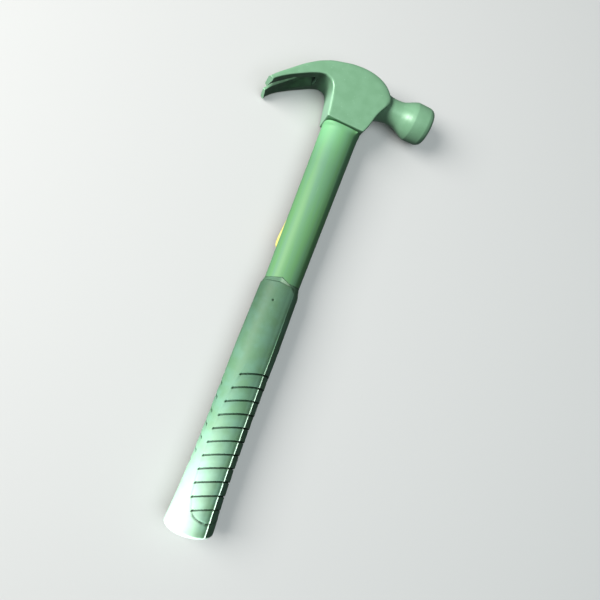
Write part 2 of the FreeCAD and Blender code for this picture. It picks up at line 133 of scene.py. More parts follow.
def evenly(curve: np.ndarray, spacing: float) -> np.ndarray:
    """Resample an open curve at an even spacing.

    Args:
        curve: Points along the curve.
        spacing: Wanted distance between samples.

    Returns:
        The resampled curve with both its ends.
    """
    walked = np.concatenate([[0.0], np.cumsum(np.linalg.norm(np.diff(curve, axis=0), axis=1))])
    count = max(2, int(walked[-1] / spacing) + 1)
    marks = np.linspace(0.0, walked[-1], count)
    return np.stack([np.interp(marks, walked, curve[:, axis]) for axis in range(curve.shape[1])], axis=1)


def soften(values: np.ndarray, reach: float) -> np.ndarray:
    """Smooth values round a closed loop with a bell-shaped weight.

    Args:
        values: One row, or one number, for each sample of the loop.
        reach: Standard width of the weight, in samples.

    Returns:
        The smoothed values, in the same shape.
    """
    half = int(4 * reach) + 1
    offsets = np.arange(-half, half + 1)
    weights = np.exp(-0.5 * (offsets / reach) ** 2)
    weights /= weights.sum()
    index = (np.arange(len(values))[:, None] + offsets) % len(values)
    return np.tensordot(weights, np.moveaxis(values[index], 1, 0), axes=1)


def rise(value: np.ndarray, start: float, end: float) -> np.ndarray:
    """Smooth step from 0 at start to 1 at end, level at both.

    Args:
        value: Where to read the step.
        start: Value at which it leaves 0.
        end: Value at which it reaches 1.

    Returns:
        Numbers from 0 to 1.
    """
    part = np.clip((value - start) / (end - start), 0.0, 1.0)
    return part * part * (3.0 - 2.0 * part)


def turn_between(angle: np.ndarray, centre: float) -> np.ndarray:
    """Signed turn from a direction to an angle, both in degrees, from -180 to 180."""
    return (angle - centre + 180.0) % 360.0 - 180.0


# ---------------------------------------------------------------- meshes


def outward(points: np.ndarray, faces: list[np.ndarray]) -> list[np.ndarray]:
    """Turn every face round if the closed skin encloses a negative volume.

    Args:
        points: The skin's vertices.
        faces: Arrays of faces with the same number of corners each.

    Returns:
        The faces, pointing outwards.
    """
    volume = 0.0
    for group in faces:
        first = points[group[:, 0]]
        for corner in range(1, group.shape[1] - 1):
            second, third = points[group[:, corner]], points[group[:, corner + 1]]
            volume += np.einsum("ij,ij->", first, np.cross(second, third))
    return faces if volume > 0 else [group[:, ::-1] for group in faces]


def make_piece(name: str, points: np.ndarray, faces: list[np.ndarray]) -> bpy.types.Object:
    """Put arrays of vertices and faces into a new smooth-shaded object.

    Args:
        name: The object's name.
        points: Vertices, one a row.
        faces: Arrays of faces with the same number of corners each.

    Returns:
        The object, linked into the scene.
    """
    faces = outward(points, faces)
    corners = np.concatenate([group.ravel() for group in faces])
    sizes = np.concatenate([np.full(len(group), group.shape[1]) for group in faces])
    starts = np.concatenate([[0], np.cumsum(sizes)[:-1]])
    mesh = bpy.data.meshes.new(name)
    mesh.vertices.add(len(points))
    mesh.vertices.foreach_set("co", points.astype(np.float32).ravel())
    mesh.loops.add(len(corners))
    mesh.loops.foreach_set("vertex_index", corners.astype(np.int32))
    mesh.polygons.add(len(sizes))
    mesh.polygons.foreach_set("loop_start", starts.astype(np.int32))
    mesh.polygons.foreach_set("use_smooth", np.ones(len(sizes), bool))
    mesh.update(calc_edges=True)
    mesh.validate()
    piece = bpy.data.objects.new(name, mesh)
    bpy.context.scene.collection.objects.link(piece)
    return piece


def ring_quads(rings: int, around: int, closed: bool = False) -> np.ndarray:
    """Quads between neighbouring rings of a grid, each ring closed on itself.

    Args:
        rings: Number of rings.
        around: Number of points in a ring.
        closed: Whether the last ring joins the first.

    Returns:
        Vertex numbers of the quads, one quad a row.
    """
    steps = np.arange(rings if closed else rings - 1)
    ring, place = np.meshgrid(steps, np.arange(around), indexing="ij")
    ahead, beside = (ring + 1) % rings, (place + 1) % around
    return np.stack([ring * around + place, ring * around + beside,
                     ahead * around + beside, ahead * around + place], axis=-1).reshape(-1, 4)


def skin(name: str, grid: np.ndarray, ring_ends: bool = False) -> bpy.types.Object:
    """Closed skin over a grid of rings.

    Neighbouring rings are joined by quads, and each ring closes on itself. The first and last rings
    are closed by a point in their middle, or joined to each other where ring_ends says so.

    Args:
        name: The object's name.
        grid: Array of shape (rings, points in a ring, 3).
        ring_ends: Whether the last ring joins the first, as in a tube with a bore.

    Returns:
        The new object.
    """
    rings, around, _ = grid.shape
    quads = ring_quads(rings, around, ring_ends)
    points = grid.reshape(-1, 3)
    if ring_ends:
        return make_piece(name, points, [quads])
    first, last = rings * around, rings * around + 1
    place = np.arange(around)
    beside = (place + 1) % around
    base = (rings - 1) * around
    caps = np.concatenate([
        np.stack([beside, place, np.full(around, first)], axis=1),
        np.stack([base + place, base + beside, np.full(around, last)], axis=1),
    ])
    points = np.concatenate([points, grid[:1].mean(axis=1), grid[-1:].mean(axis=1)])
    return make_piece(name, points, [quads, caps])


def add_attribute(piece: bpy.types.Object, name: str, values: np.ndarray) -> None:
    """Store one number a vertex on a piece, for its material to read.

    Args:
        piece: The piece; vertices past the given values get 0.
        name: The attribute's name.
        values: Numbers for the first vertices.
    """
    padded = np.zeros(len(piece.data.vertices), np.float32)
    padded[: len(values)] = values
    piece.data.attributes.new(name, "FLOAT", "POINT").data.foreach_set("value", padded)


def vertex_array(piece: bpy.types.Object) -> np.ndarray:
    """Read the vertices of a piece.

    Args:
        piece: The piece.

    Returns:
        Its vertices, one a row.
    """
    points = np.empty(len(piece.data.vertices) * 3, np.float32)
    piece.data.vertices.foreach_get("co", points)
    return points.reshape(-1, 3).astype(float)


def normal_array(piece: bpy.types.Object) -> np.ndarray:
    """Read the vertex normals of a piece.

    Args:
        piece: The piece.

    Returns:
        Its normals, one a row.
    """
    normals = np.empty(len(piece.data.vertices) * 3, np.float32)
    piece.data.vertex_normals.foreach_get("vector", normals)
    return normals.reshape(-1, 3).astype(float)


def set_vertices(piece: bpy.types.Object, points: np.ndarray) -> None:
    """Write an array of vertices back into a piece."""
    piece.data.vertices.foreach_set("co", points.astype(np.float32).ravel())
    piece.data.update()


def settle(piece: bpy.types.Object) -> None:
    """Apply a piece's modifiers to its mesh.

    Args:
        piece: The piece, whose old mesh is removed.
    """
    graph = bpy.context.evaluated_depsgraph_get()
    mesh = bpy.data.meshes.new_from_object(piece.evaluated_get(graph))
    piece.modifiers.clear()
    old, piece.data = piece.data, mesh
    bpy.data.meshes.remove(old)


def combine(piece: bpy.types.Object, tool: bpy.types.Object, operation: Operation) -> None:
    """Cut a tool out of a piece, or add it, and remove the tool.

    Args:
        piece: The piece that changes.
        tool: The closed shape that acts on it.
        operation: Whether the tool is cut out or added.
    """
    modifier = piece.modifiers.new(operation.name.lower(), "BOOLEAN")
    modifier.object = tool
    modifier.operation = operation.value
    modifier.solver = "EXACT"
    settle(piece)
    bpy.data.objects.remove(tool)


def relax(piece: bpy.types.Object, rounds: int) -> None:
    """Smooth a mesh without shrinking it.

    Each round moves every vertex half of the way to the mean of its neighbours, and then a little
    further the other way.

    Args:
        piece: The piece whose mesh is smoothed.
        rounds: Number of such pairs of moves.
    """
    points = vertex_array(piece)
    edges = np.empty(len(piece.data.edges) * 2, np.int32)
    piece.data.edges.foreach_get("vertices", edges)
    start, end = edges.reshape(-1, 2).T
    count = len(points)
    degree = (np.bincount(start, minlength=count) + np.bincount(end, minlength=count))[:, None]
    for share in (0.5, -0.53) * rounds:
        total = np.stack([
            np.bincount(start, points[end, axis], count) + np.bincount(end, points[start, axis], count)
            for axis in range(3)
        ], axis=1)
        points = points + share * (total / degree - points)
    set_vertices(piece, points)


# ---------------------------------------------------------------- finishes


class Nodes:
    """A node tree under construction, for a material or a node group."""

    def __init__(self, tree: bpy.types.NodeTree) -> None:
        """Keep the tree that nodes are added to."""
        self.tree = tree

    def add(self, kind: str, settings: dict | None = None, **inputs: object) -> bpy.types.Node:
        """Add one node.

        Args:
            kind: The node's type, without the ShaderNode prefix.
            settings: Properties of the node itself.
            **inputs: Values or sockets for its inputs, named with underscores for spaces.

        Returns:
            The new node.
        """
        node = self.tree.nodes.new("ShaderNode" + kind)
        for name, value in (settings or {}).items():
            setattr(node, name, value)
        for name, value in inputs.items():
            self.feed(node.inputs[name.replace("_", " ")], value)
        return node

    def feed(self, socket: bpy.types.NodeSocket, value: object) -> None:
        """Link a socket to another one, or set its value.

        Args:
            socket: The input to feed.
            value: A socket, or a number, colour or vector.
        """
        if isinstance(value, bpy.types.NodeSocket):
            self.tree.links.new(value, socket)
        else:
            socket.default_value = value

    def math(self, operation: str, first: object, second: object = 0.0) -> bpy.types.NodeSocket:
        """Add a Math node.

        Args:
            operation: The node's operation.
            first: First value or socket.
            second: Second value or socket.

        Returns:
            The result's socket.
        """
        node = self.add("Math", {"operation": operation})
        self.feed(node.inputs[0], first)
        self.feed(node.inputs[1], second)
        return node.outputs[0]

    def span(self, value: object, low: float, high: float, start: float = 0.0,
             end: float = 1.0) -> bpy.types.NodeSocket:
        """Bring a value from one span to another with a smooth clamp.

        Args:
            value: A value or socket.
            low: Where the first span starts.
            high: Where it ends.
            start: Where the second span starts.
            end: Where it ends.

        Returns:
            The result's socket.
        """
        node = self.add("MapRange", {"interpolation_type": "SMOOTHSTEP"}, Value=value,
                        From_Min=low, From_Max=high, To_Min=start, To_Max=end)
        return node.outputs["Result"]

    def noise(self, place: object, scale: float, detail: float = 3.0,
              roughness: float = 0.5) -> bpy.types.NodeSocket:
        """Read a noise texture.

        Args:
            place: Where to read it.
            scale: Waves in a metre.
            detail: Octaves of finer waves.
            roughness: Share of each finer octave.

        Returns:
            The value's socket.
        """
        node = self.add("TexNoise", {"noise_dimensions": "3D"}, Vector=place, Scale=scale,
                        Detail=detail, Roughness=roughness)
        return node.outputs["Fac"]

    def blend(self, share: object, first: object, second: object) -> bpy.types.NodeSocket:
        """Mix two colours.

        Args:
            share: Share of the second colour, a value or socket.
            first: First colour or socket.
            second: Second colour or socket.

        Returns:
            The mix's socket.
        """
        node = self.add("Mix", {"data_type": "RGBA"})
        self.feed(node.inputs[0], share)
        self.feed(node.inputs[6], first)
        self.feed(node.inputs[7], second)
        return node.outputs[2]


def effect_group(name: str, inputs: dict[str, float], outputs: tuple[str, ...]) -> Nodes:
    """Start a node group with a place input, number inputs and number outputs.

    Args:
        name: The group's name.
        inputs: Number inputs and their starting values.
        outputs: Names of the number outputs.

    Returns:
        The group's tree, with its input and output nodes in place.
    """
    tree = bpy.data.node_groups.new(name, "ShaderNodeTree")
    tree.interface.new_socket("Place", in_out="INPUT", socket_type="NodeSocketVector")
    for label, value in inputs.items():
        socket = tree.interface.new_socket(label, in_out="INPUT", socket_type="NodeSocketFloat")
        socket.default_value = value
    for label in outputs:
        tree.interface.new_socket(label, in_out="OUTPUT", socket_type="NodeSocketFloat")
    tree.nodes.new("NodeGroupInput")
    tree.nodes.new("NodeGroupOutput")
    return Nodes(tree)


def paint_skin_group() -> bpy.types.NodeTree:
    """Skin of a sprayed or moulded surface: fine grain, soft unevenness and scattered specks.

    Returns:
        Group with Height, Mottle and Specks outputs.
    """
    group = effect_group("paint_skin", {"Grain": 900.0, "Waves": 90.0, "Speck Size": 420.0},
                         ("Height", "Mottle", "Specks"))
    given = group.tree.nodes["Group Input"].outputs
    result = group.tree.nodes["Group Output"].inputs
    grain = group.add("TexNoise", Vector=given["Place"], Scale=given["Grain"], Detail=2.0)
    waves = group.add("TexNoise", Vector=given["Place"], Scale=given["Waves"], Detail=3.0)
    specks = group.add("TexVoronoi", {"feature": "F1"}, Vector=given["Place"], Scale=given["Speck Size"])
    height = group.math("ADD", group.math("MULTIPLY", grain.outputs["Fac"], 0.35), waves.outputs["Fac"])
    group.feed(result["Height"], height)
    group.feed(result["Mottle"], waves.outputs["Fac"])
    group.feed(result["Specks"], group.span(specks.outputs["Distance"], 0.16, 0.05))
    return group.tree


def recess_group() -> bpy.types.NodeTree:
    """Painted shade in moulded recesses, uneven along them.

    Returns:
        Group with a Shade output, 1 on the open surface and lower in a recess.
    """
    group = effect_group("recess_shade", {"Recess": 0.0, "Darkening": 0.8}, ("Shade",))
    given = group.tree.nodes["Group Input"].outputs
    # noise that makes the painted shade uneven along the recess
    painted_shading = group.noise(given["Place"], 260.0, 2.0)
    deep = group.math("MULTIPLY", given["Recess"], group.span(painted_shading, 0.2, 0.6, 0.85, 1.0))
    lost = group.math("MULTIPLY", deep, given["Darkening"])
    group.feed(group.tree.nodes["Group Output"].inputs["Shade"], group.math("SUBTRACT", 1.0, lost))
    return group.tree


@dataclass(frozen=True)
class Finish:
    """A surface finish: two tones of one colour, its gloss and its skin.

    The tones are mixed by soft unevenness, and the skin raises the surface through a bump.
    """

    name: str
    tone: tuple[float, float, float]
    second_tone: tuple[float, float, float]
    roughness: tuple[float, float]
    metallic: float = 0.0
    specular: float = 0.5
    grain: float = 900.0
    waves: float = 90.0
    speck_size: float = 420.0
    speck_tone: tuple[float, float, float] = (0.5, 0.8, 0.6)
    speck_share: float = 0.1
    bump: float = 0.1
    # strength of painted shade in recesses, and the tone of painted highlight
    recess_darkening: float = 0.0
    highlight_tone: tuple[float, float, float] = (0.62, 0.76, 0.62)
    stretch: tuple[float, float, float] = (1.0, 1.0, 1.0)

    def base(self, nodes: Nodes, place: object, skin_node: bpy.types.Node) -> bpy.types.NodeSocket:
        """Colour of the surface: the two tones, the specks over them, and painted shade and painted highlight
        where there are any.

        Args:
            nodes: The material's tree.
            place: Where the textures are read.
            skin_node: The skin group's node.

        Returns:
            The colour's socket.
        """
        share = nodes.span(skin_node.outputs["Mottle"], 0.3, 0.7)
        tones = nodes.blend(share, (*self.tone, 1.0), (*self.second_tone, 1.0))
        specks = nodes.math("MULTIPLY", skin_node.outputs["Specks"], self.speck_share)
        speckled = nodes.blend(specks, tones, (*self.speck_tone, 1.0))
        if not self.recess_darkening:
            return speckled
        attribute = nodes.add("Attribute", {"attribute_name": "recess"})
        shade = nodes.add("Group", {"node_tree": bpy.data.node_groups.get("recess_shade") or recess_group()})
        nodes.feed(shade.inputs["Place"], place)
        nodes.feed(shade.inputs["Recess"], attribute.outputs["Fac"])
        nodes.feed(shade.inputs["Darkening"], self.recess_darkening)
        # painted highlight: the flash attribute lifts the colour towards the pale tone
        open_skin = nodes.blend(nodes.add("Attribute", {"attribute_name": "flash"}).outputs["Fac"],
                                speckled, (*self.highlight_tone, 1.0))
        # painted shade: the recess attribute pulls the colour towards near black
        return nodes.blend(shade.outputs["Shade"], (0.006, 0.02, 0.01, 1.0), open_skin)

    def material(self) -> bpy.types.Material:
        """Build the finish as a node material on Object coordinates.

        Returns:
            The material.
        """
        material = bpy.data.materials.new(self.name)
        material.use_nodes = True
        nodes = Nodes(material.node_tree)
        shader = material.node_tree.nodes["Principled BSDF"]
        place = nodes.add("TexCoord").outputs["Object"]
        if self.stretch != (1.0, 1.0, 1.0):
            place = nodes.add("Mapping", Vector=place, Scale=self.stretch).outputs["Vector"]
        group = bpy.data.node_groups.get("paint_skin") or paint_skin_group()
        skin_node = nodes.add("Group", {"node_tree": group})
        for label, value in (("Place", place), ("Grain", self.grain), ("Waves", self.waves),
                             ("Speck Size", self.speck_size)):
            nodes.feed(skin_node.inputs[label], value)
        low, high = self.roughness
        nodes.feed(shader.inputs["Base Color"], self.base(nodes, place, skin_node))
        nodes.feed(shader.inputs["Roughness"], nodes.span(skin_node.outputs["Mottle"], 0.2, 0.8, low, high))
        shader.inputs["Metallic"].default_value = self.metallic
        shader.inputs["Specular IOR Level"].default_value = self.specular
        bump = nodes.add("Bump", Strength=1.0, Distance=self.bump * MILLIMETRE)
        nodes.feed(bump.inputs["Height"], skin_node.outputs["Height"])
        nodes.feed(shader.inputs["Normal"], bump.outputs["Normal"])
        return material


# The darkening amounts set the strength of painted shade; the pale tones are painted highlight, and on the
# jacket painted reflected light.
LACQUERED_STEEL = Finish(
    "lacquered_steel", (0.168, 0.345, 0.206), (0.184, 0.370, 0.226), (0.30, 0.42), metallic=0.1,
    specular=0.6, grain=1500.0, waves=160.0, speck_size=330.0, speck_tone=(0.42, 0.72, 0.50),
    speck_share=0.18, bump=0.05, recess_darkening=0.78, highlight_tone=(0.38, 0.66, 0.46))
MOULDED_JACKET = Finish(
    "moulded_jacket", (0.108, 0.270, 0.105), (0.106, 0.244, 0.146), (0.52, 0.60), specular=0.3,
    grain=1500.0, waves=170.0, speck_size=420.0, speck_tone=(0.30, 0.48, 0.34), speck_share=0.10,
    bump=0.02, recess_darkening=0.5, highlight_tone=(0.17, 0.44, 0.21), stretch=(1.0, 0.06, 1.0))
GRIP_RUBBER = Finish(
    "grip_rubber", (0.086, 0.176, 0.096), (0.098, 0.200, 0.134), (0.55, 0.62), specular=0.22,
    grain=2600.0, waves=110.0, speck_size=300.0, speck_tone=(0.05, 0.12, 0.08), speck_share=0.10,
    bump=0.03, recess_darkening=0.9)
CAST_RESIN = Finish(
    "cast_resin", (0.030, 0.065, 0.030), (0.045, 0.085, 0.040), (0.30, 0.45), specular=0.5,
    grain=1800.0, waves=300.0, speck_size=700.0, speck_tone=(0.12, 0.18, 0.10), speck_share=0.25,
    bump=0.12)
GLASS_FIBRE = Finish(
    "glass_fibre", (0.62, 0.60, 0.38), (0.52, 0.52, 0.30), (0.35, 0.55), specular=0.5,
    grain=5200.0, waves=900.0, speck_size=2600.0, speck_tone=(0.85, 0.84, 0.66), speck_share=0.6,
    bump=0.06)
PAD_PLASTIC = Finish(
    "pad_plastic", (0.62, 0.55, 0.17), (0.54, 0.48, 0.13), (0.5, 0.6), specular=0.35,
    grain=2400.0, waves=240.0, speck_size=600.0, speck_tone=(0.60, 0.40, 0.12), speck_share=0.12,
    bump=0.03)


# ---------------------------------------------------------------- head


@dataclass
class ForgedHead:
    """Drop-forged head: cheeks and claw in one plate, turned neck and bell, nail slot and eye.

    All sizes are millimetres from the datum. The plate is its outline carried round an edge profile:
    the wall stands square at the middle and turns in towards each cheek along a quarter ellipse.
    """

    datum: Datum
    cheek_half: float = 12.5
    voxel: float = 0.42
    spacing: float = 0.4
    corner_reach: float = 0.7
    poll_height: float = 27.1
    slot_root: float = 28.5
    slot_root_radius: float = 1.1
    slot_tip_half: float = 4.1
    slot_tip_run: float = 63.5
    recess_end: float = -28.4

    # Each stretch: its points, and how far the edge is rounded inwards and down from the cheek.
    STRETCHES = (
        (((-13.6, 0.0), (13.0, 0.0)), 0.5, 0.5),
        (((13.0, 0.0), (15.1, 5.3), (16.3, 9.6), (17.5, 14.0), (19.5, 18.7), (22.7, 24.2)), 0.8, 0.8),
        (((22.7, 24.2), (23.7, 27.6), (22.9, 30.6)), 4.0, 1.7),
        (((22.9, 30.6), (20.2, 34.2), (14.4, 38.4), (5.8, 40.9), (-2.0, 41.2), (-9.0, 40.4)), 5.5, 2.2),
        (((-9.0, 40.4), (-15.8, 38.6), (-25.2, 35.5), (-30.3, 32.7)), 3.6, 2.2),
        (((-30.3, 32.7), (-39.3, 26.0), (-47.8, 18.1), (-55.6, 10.4), (-60.2, 4.6)), 1.4, 1.4),
        (((-60.2, 4.6), (-58.4, 0.7)), 0.6, 0.6),
        (((-58.4, 0.7), (-55.0, 6.2), (-51.5, 9.6), (-46.7, 13.2), (-42.0, 16.2), (-37.0, 19.2),
          (-32.0, 21.9), (-28.0, 23.6), (-24.0, 24.4)), 0.8, 0.8),
        (((-24.0, 24.4), (-19.6, 22.9), (-17.2, 19.4), (-16.2, 15.6)), 1.4, 1.4),
        (((-16.2, 15.6), (-13.6, 0.0)), 2.0, 1.5),
    )
    # Ground facets: the tine's side, a point of the facet and its normal.
    FACETS = ((1.0, (-56.3, 7.0, 12.5), (-0.45, -0.85, 0.28)),
              (-1.0, (-58.6, 3.1, -8.0), (-0.61, -0.78, 0.14)))
    POLL_PROFILE = (
        (17.0, 12.4), (19.5, 11.0), (22.5, 9.7), (26.0, 9.0), (29.5, 8.85), (32.0, 9.0), (34.5, 9.45),
        (37.0, 10.4), (39.5, 11.6), (42.0, 12.75), (43.9, 13.45))
    BELL_PROFILE = ((43.9, 13.45), (48.0, 13.5), (53.4, 13.4))
    FACE_PROFILE = ((53.4, 13.4), (55.6, 12.5), (56.7, 11.5), (57.0, 10.4), (57.0, 0.3))

    def outline(self) -> tuple[np.ndarray, np.ndarray]:
        """Outline of cheeks and claw, and the rounding of its edge.

        The stretches are splines, joined end to end. Corners and the rounding are softened along the
        loop.

        Returns:
            Points (x, y), and for each the rounding (inwards, down).
        """
        curves, rounds = [], []
        for points, inward, down in self.STRETCHES:
            curve = spline(np.array(points), self.spacing)[:-1]
            curves.append(curve)
            rounds.append(np.tile((inward, down), (len(curve), 1)))
        reach = self.corner_reach / self.spacing
        return soften(np.concatenate(curves), reach), soften(np.concatenate(rounds), 3 * reach)

    def plate(self) -> bpy.types.Object:
        """Cheeks and claw: the outline stepped inwards along its normals up a quarter ellipse.

        Returns:
            The closed plate.
        """
        outline, rounding = self.outline()
        along = np.roll(outline, -1, axis=0) - np.roll(outline, 1, axis=0)
        along /= np.linalg.norm(along, axis=1, keepdims=True)
        inwards = np.stack([-along[:, 1], along[:, 0]], axis=1)
        turn = np.linspace(0.0, math.pi / 2, 9)
        upper_in = rounding[:, :1] * (1 - np.cos(turn))
        upper_z = self.cheek_half - rounding[:, 1:] * (1 - np.sin(turn))
        inset = np.concatenate([upper_in[:, ::-1], upper_in], axis=1)
        height = np.concatenate([-upper_z[:, ::-1], upper_z], axis=1)
        flat = outline[:, None, :] + inset[:, :, None] * inwards[:, None, :]
        grid = np.concatenate([flat, height[:, :, None]], axis=2).transpose(1, 0, 2)
        rings, around, _ = grid.shape
        place = np.arange(around)
        lids = [place[None, ::-1], (rings - 1) * around + place[None, :]]
        return make_piece("head_plate", grid.reshape(-1, 3), [ring_quads(rings, around), *lids])

    def poll_profile(self) -> np.ndarray:
        """Profile of neck, bell and face, three splines end to end.

        Returns:
            Distance along the poll and radius, one pair a row.
        """
        parts = [spline(np.array(part), 0.35) for part in (self.POLL_PROFILE, self.BELL_PROFILE,
                                                           self.FACE_PROFILE)]
        return np.concatenate([parts[0][:-1], parts[1][:-1], parts[2]])

    def poll(self) -> bpy.types.Object:
        """Neck and bell: the profile turned about the poll's axis.

        Returns:
            The closed poll.
        """
        profile = self.poll_profile()
        angle = np.linspace(0.0, 2 * math.pi, 192, endpoint=False)
        run, radius = profile[:, 0, None], profile[:, 1, None]
        grid = np.stack([run + 0 * angle, self.poll_height + radius * np.cos(angle),
                         radius * np.sin(angle)], axis=2)
        return skin("head_poll", grid)

    def slot_cutter(self) -> bpy.types.Object:
        """Wedge with a round root, standing through the claw and opening faster towards the tips.

        Returns:
            The closed cutter.
        """
        neck = self.slot_root + self.slot_root_radius
        angle = np.linspace(-math.pi / 2, math.pi / 2, 25)
        root = np.stack([-neck + self.slot_root_radius * np.cos(angle),
                         self.slot_root_radius * np.sin(angle)], axis=1)
        part = np.linspace(0.08, 1.0, 24)
        opening = 0.2 * part + 0.8 * part**3
        half = self.slot_root_radius + (self.slot_tip_half - self.slot_root_radius) * opening
        wall = np.stack([-neck - part * (self.slot_tip_run - neck), half], axis=1)
        plan = np.concatenate([root, wall, wall[::-1] * np.array([1.0, -1.0])])
        levels = np.array([-5.0, 50.0])[:, None]
        grid = np.stack([plan[:, 0] + 0 * levels, levels + 0 * plan[:, 0], plan[:, 1] + 0 * levels], axis=2)
        return skin("slot_cutter", grid)

    def recess_cutter(self) -> bpy.types.Object:
        """Hollow round the nail slot on the claw's inner side.

        Its section is a flat-bottomed bowl across the claw, carried along the inner curve. It narrows
        along a quarter circle at its round end, where its wall is steep, and it is shallower where the
        tines are thin.

        Returns:
            The closed cutter.
        """
        curve = spline(np.array(self.STRETCHES[7][0]), 0.4)
        along = np.gradient(curve, axis=0)
        along /= np.linalg.norm(along, axis=1, keepdims=True)
        into = np.stack([-along[:, 1], along[:, 0]], axis=1)
        round_end = 1.6
        past = np.clip((curve[:, 0] - self.recess_end + round_end) / round_end, 0.0, 1.0)
        keep = curve[:, 0] < self.recess_end - 0.02
        width = 6.2 + 4.0 * rise(-curve[:, 0], 32.0, 52.0)
        width = (width * np.sqrt(np.clip(1 - past**2, 0.01, 1)))[keep, None]
        depth = np.interp(-curve[:, 0], [28.0, 36.0, 42.0, 48.0, 56.0], [4.2, 4.2, 3.0, 1.8, 1.2])[keep, None]
        depth = depth * rise(self.recess_end - curve[keep, :1], -0.6, 1.4)
        across = np.linspace(-1.0, 1.0, 33)
        bowl = depth * (1 - np.abs(across) ** 1.8)
        curve, into = curve[keep], into[keep]
        metal = np.concatenate([curve[:, None] + bowl[..., None] * into[:, None],
                                (width * across)[..., None]], axis=2)
        air_across = across[::-1]
        air = np.concatenate([curve[:, None] - 3.0 * into[:, None] + 0 * air_across[None, :, None],
                              (width * air_across)[..., None]], axis=2)
        return skin("recess_cutter", np.concatenate([metal, air], axis=1))

    def eye_cutter(self) -> bpy.types.Object:
        """Tapered oval hole that holds the handle, from the frame's resin sizes.

        Returns:
            The closed cutter.
        """
        low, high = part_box("eye_resin")
        top_x = (high[0] - low[0]) / 2 / MILLIMETRE + 0.06
        top_z = (high[2] - low[2]) / 2 / MILLIMETRE + 0.06
        angle = np.linspace(0.0, 2 * math.pi, 96, endpoint=False)
        levels = np.array([-1.0, 42.2])[:, None]
        half_x = np.array([top_x - 0.95, top_x + 0.05])[:, None]
        half_z = np.array([top_z - 0.65, top_z + 0.05])[:, None]
        grid = np.stack([half_x * np.cos(angle), levels + 0 * angle, half_z * np.sin(angle)], axis=2)
        return skin("eye_cutter", grid)

    def grind_tips(self, points: np.ndarray) -> np.ndarray:
        """Grind the end of each tine to a flat oval facet.

        What stands past the facet's plane is moved back along its normal onto it.

        Args:
            points: The head's vertices.

        Returns:
            The vertices with both facets.
        """
        ground = points.copy()
        for side, place, normal in self.FACETS:
            past = (ground - np.array(place)) @ np.array(normal)
            near = (ground[:, 0] < -50.0) & (ground[:, 2] * side > 0)
            ground -= np.where(near, np.clip(past, 0.0, None), 0.0)[:, None] * np.array(normal)
        return ground

    def lean_claw(self, points: np.ndarray) -> np.ndarray:
        """Lean the claw towards the handle on its lower side, by an amount that grows with depth.

        Args:
            points: The head's vertices.

        Returns:
            The vertices with the claw leant.
        """
        lean = 0.062 * (self.cheek_half - points[:, 2]) * rise(-points[:, 0], 18.0, 36.0)
        leant = points.copy()
        leant[:, 1] -= lean
        return leant

    def turn_poll(self, points: np.ndarray) -> np.ndarray:
        """Bring the poll's skin back onto its turned profile, so that its creases are crisp.

        Args:
            points: The head's vertices.

        Returns:
            The vertices, with their distance from the poll's axis set by the profile past the neck.
        """
        profile = self.poll_profile()
        spoke = points[:, 1:] - np.array([self.poll_height, 0.0])
        radius = np.linalg.norm(spoke, axis=1)
        wanted = np.interp(points[:, 0], profile[:, 0], profile[:, 1])
        share = rise(points[:, 0], 30.0, 34.0) * (1 - rise(points[:, 0], 56.0, 56.6))
        scale = 1 + share * (wanted / np.maximum(radius, 0.1) - 1)
        turned = points.copy()
        turned[:, 1:] = spoke * scale[:, None] + np.array([self.poll_height, 0.0])
        return turned

    def painted_shading(self, points: np.ndarray, normals: np.ndarray) -> tuple[np.ndarray, np.ndarray]:
        """Painted shade and painted highlight on the lacquer.

        The claw's inner side and the nail slot's walls get painted shade. The ground facets, the wall at the
        recess's end and the flank that faces the claw get a painted highlight.

        Args:
            points: The head's vertices.
            normals: Their normals.

        Returns:
            For each vertex the painted shade and the painted highlight, both from 0 to 1.
        """
        # painted shade: the claw's inner side and the nail slot's walls, where the light does not reach
        inner = rise(-normals[:, 1], 0.15, 0.5)
        slot = (1 - rise(np.abs(points[:, 2]), 5.0, 7.0)) * (1 - rise(normals[:, 1], 0.3, 0.6))
        claw = rise(-points[:, 0], 21.0, 27.0) * (1 - rise(-points[:, 0], 54.0, 57.5) * (1 - inner))
        # painted highlight: the ground facets, the recess's end wall and the flank, where the light falls
        ground = np.zeros(len(points))
        for side, place, normal in self.FACETS:
            off = (points - np.array(place)) @ np.array(normal)
            ground += rise(off, -0.4, -0.1) * (points[:, 0] < -50.0) * (points[:, 2] * side > 0)
        wall = np.exp(-0.5 * ((points[:, 0] - self.recess_end) / 1.1) ** 4) * rise(-normals[:, 0], 0.2, 0.5)
        wall = wall * (1 - rise(np.abs(points[:, 2]), 6.6, 7.4)) * (points[:, 1] < 28.0)
        flank = rise(-normals[:, 0], 0.5, 0.95) * rise(points[:, 0], -21.0, -17.0) * (points[:, 0] < -10.0)
        flank = flank * (1 - rise(points[:, 1], 12.0, 22.0))
        clear = 1 - np.maximum(ground, wall)
        return np.maximum(inner, slot) * claw * clear, 0.35 * ground + wall + 0.8 * flank

    def build(self) -> bpy.types.Object:
        """Join plate and poll into one skin, soften it, finish its ends and dress it.

        Returns:
            The dressed head.
        """
        head = self.plate()
        head.name = "forged_head"
        for tool in (self.recess_cutter(), self.slot_cutter()):
            combine(head, tool, Operation.CUT)
        combine(head, self.poll(), Operation.ADD)
        combine(head, self.eye_cutter(), Operation.CUT)
        remesh = head.modifiers.new("skin", "REMESH")
        remesh.mode = "VOXEL"
        remesh.voxel_size = self.voxel
        remesh.use_smooth_shade = True
        settle(head)
        relax(head, 4)
        points = self.turn_poll(vertex_array(head))
        points = self.grind_tips(self.lean_claw(points))
        low, high = (np.array(corner) + inwards for corner, inwards in zip(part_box("head"), (2e-5, -2e-5)))
        set_vertices(head, np.clip(self.datum.place(points), low, high))
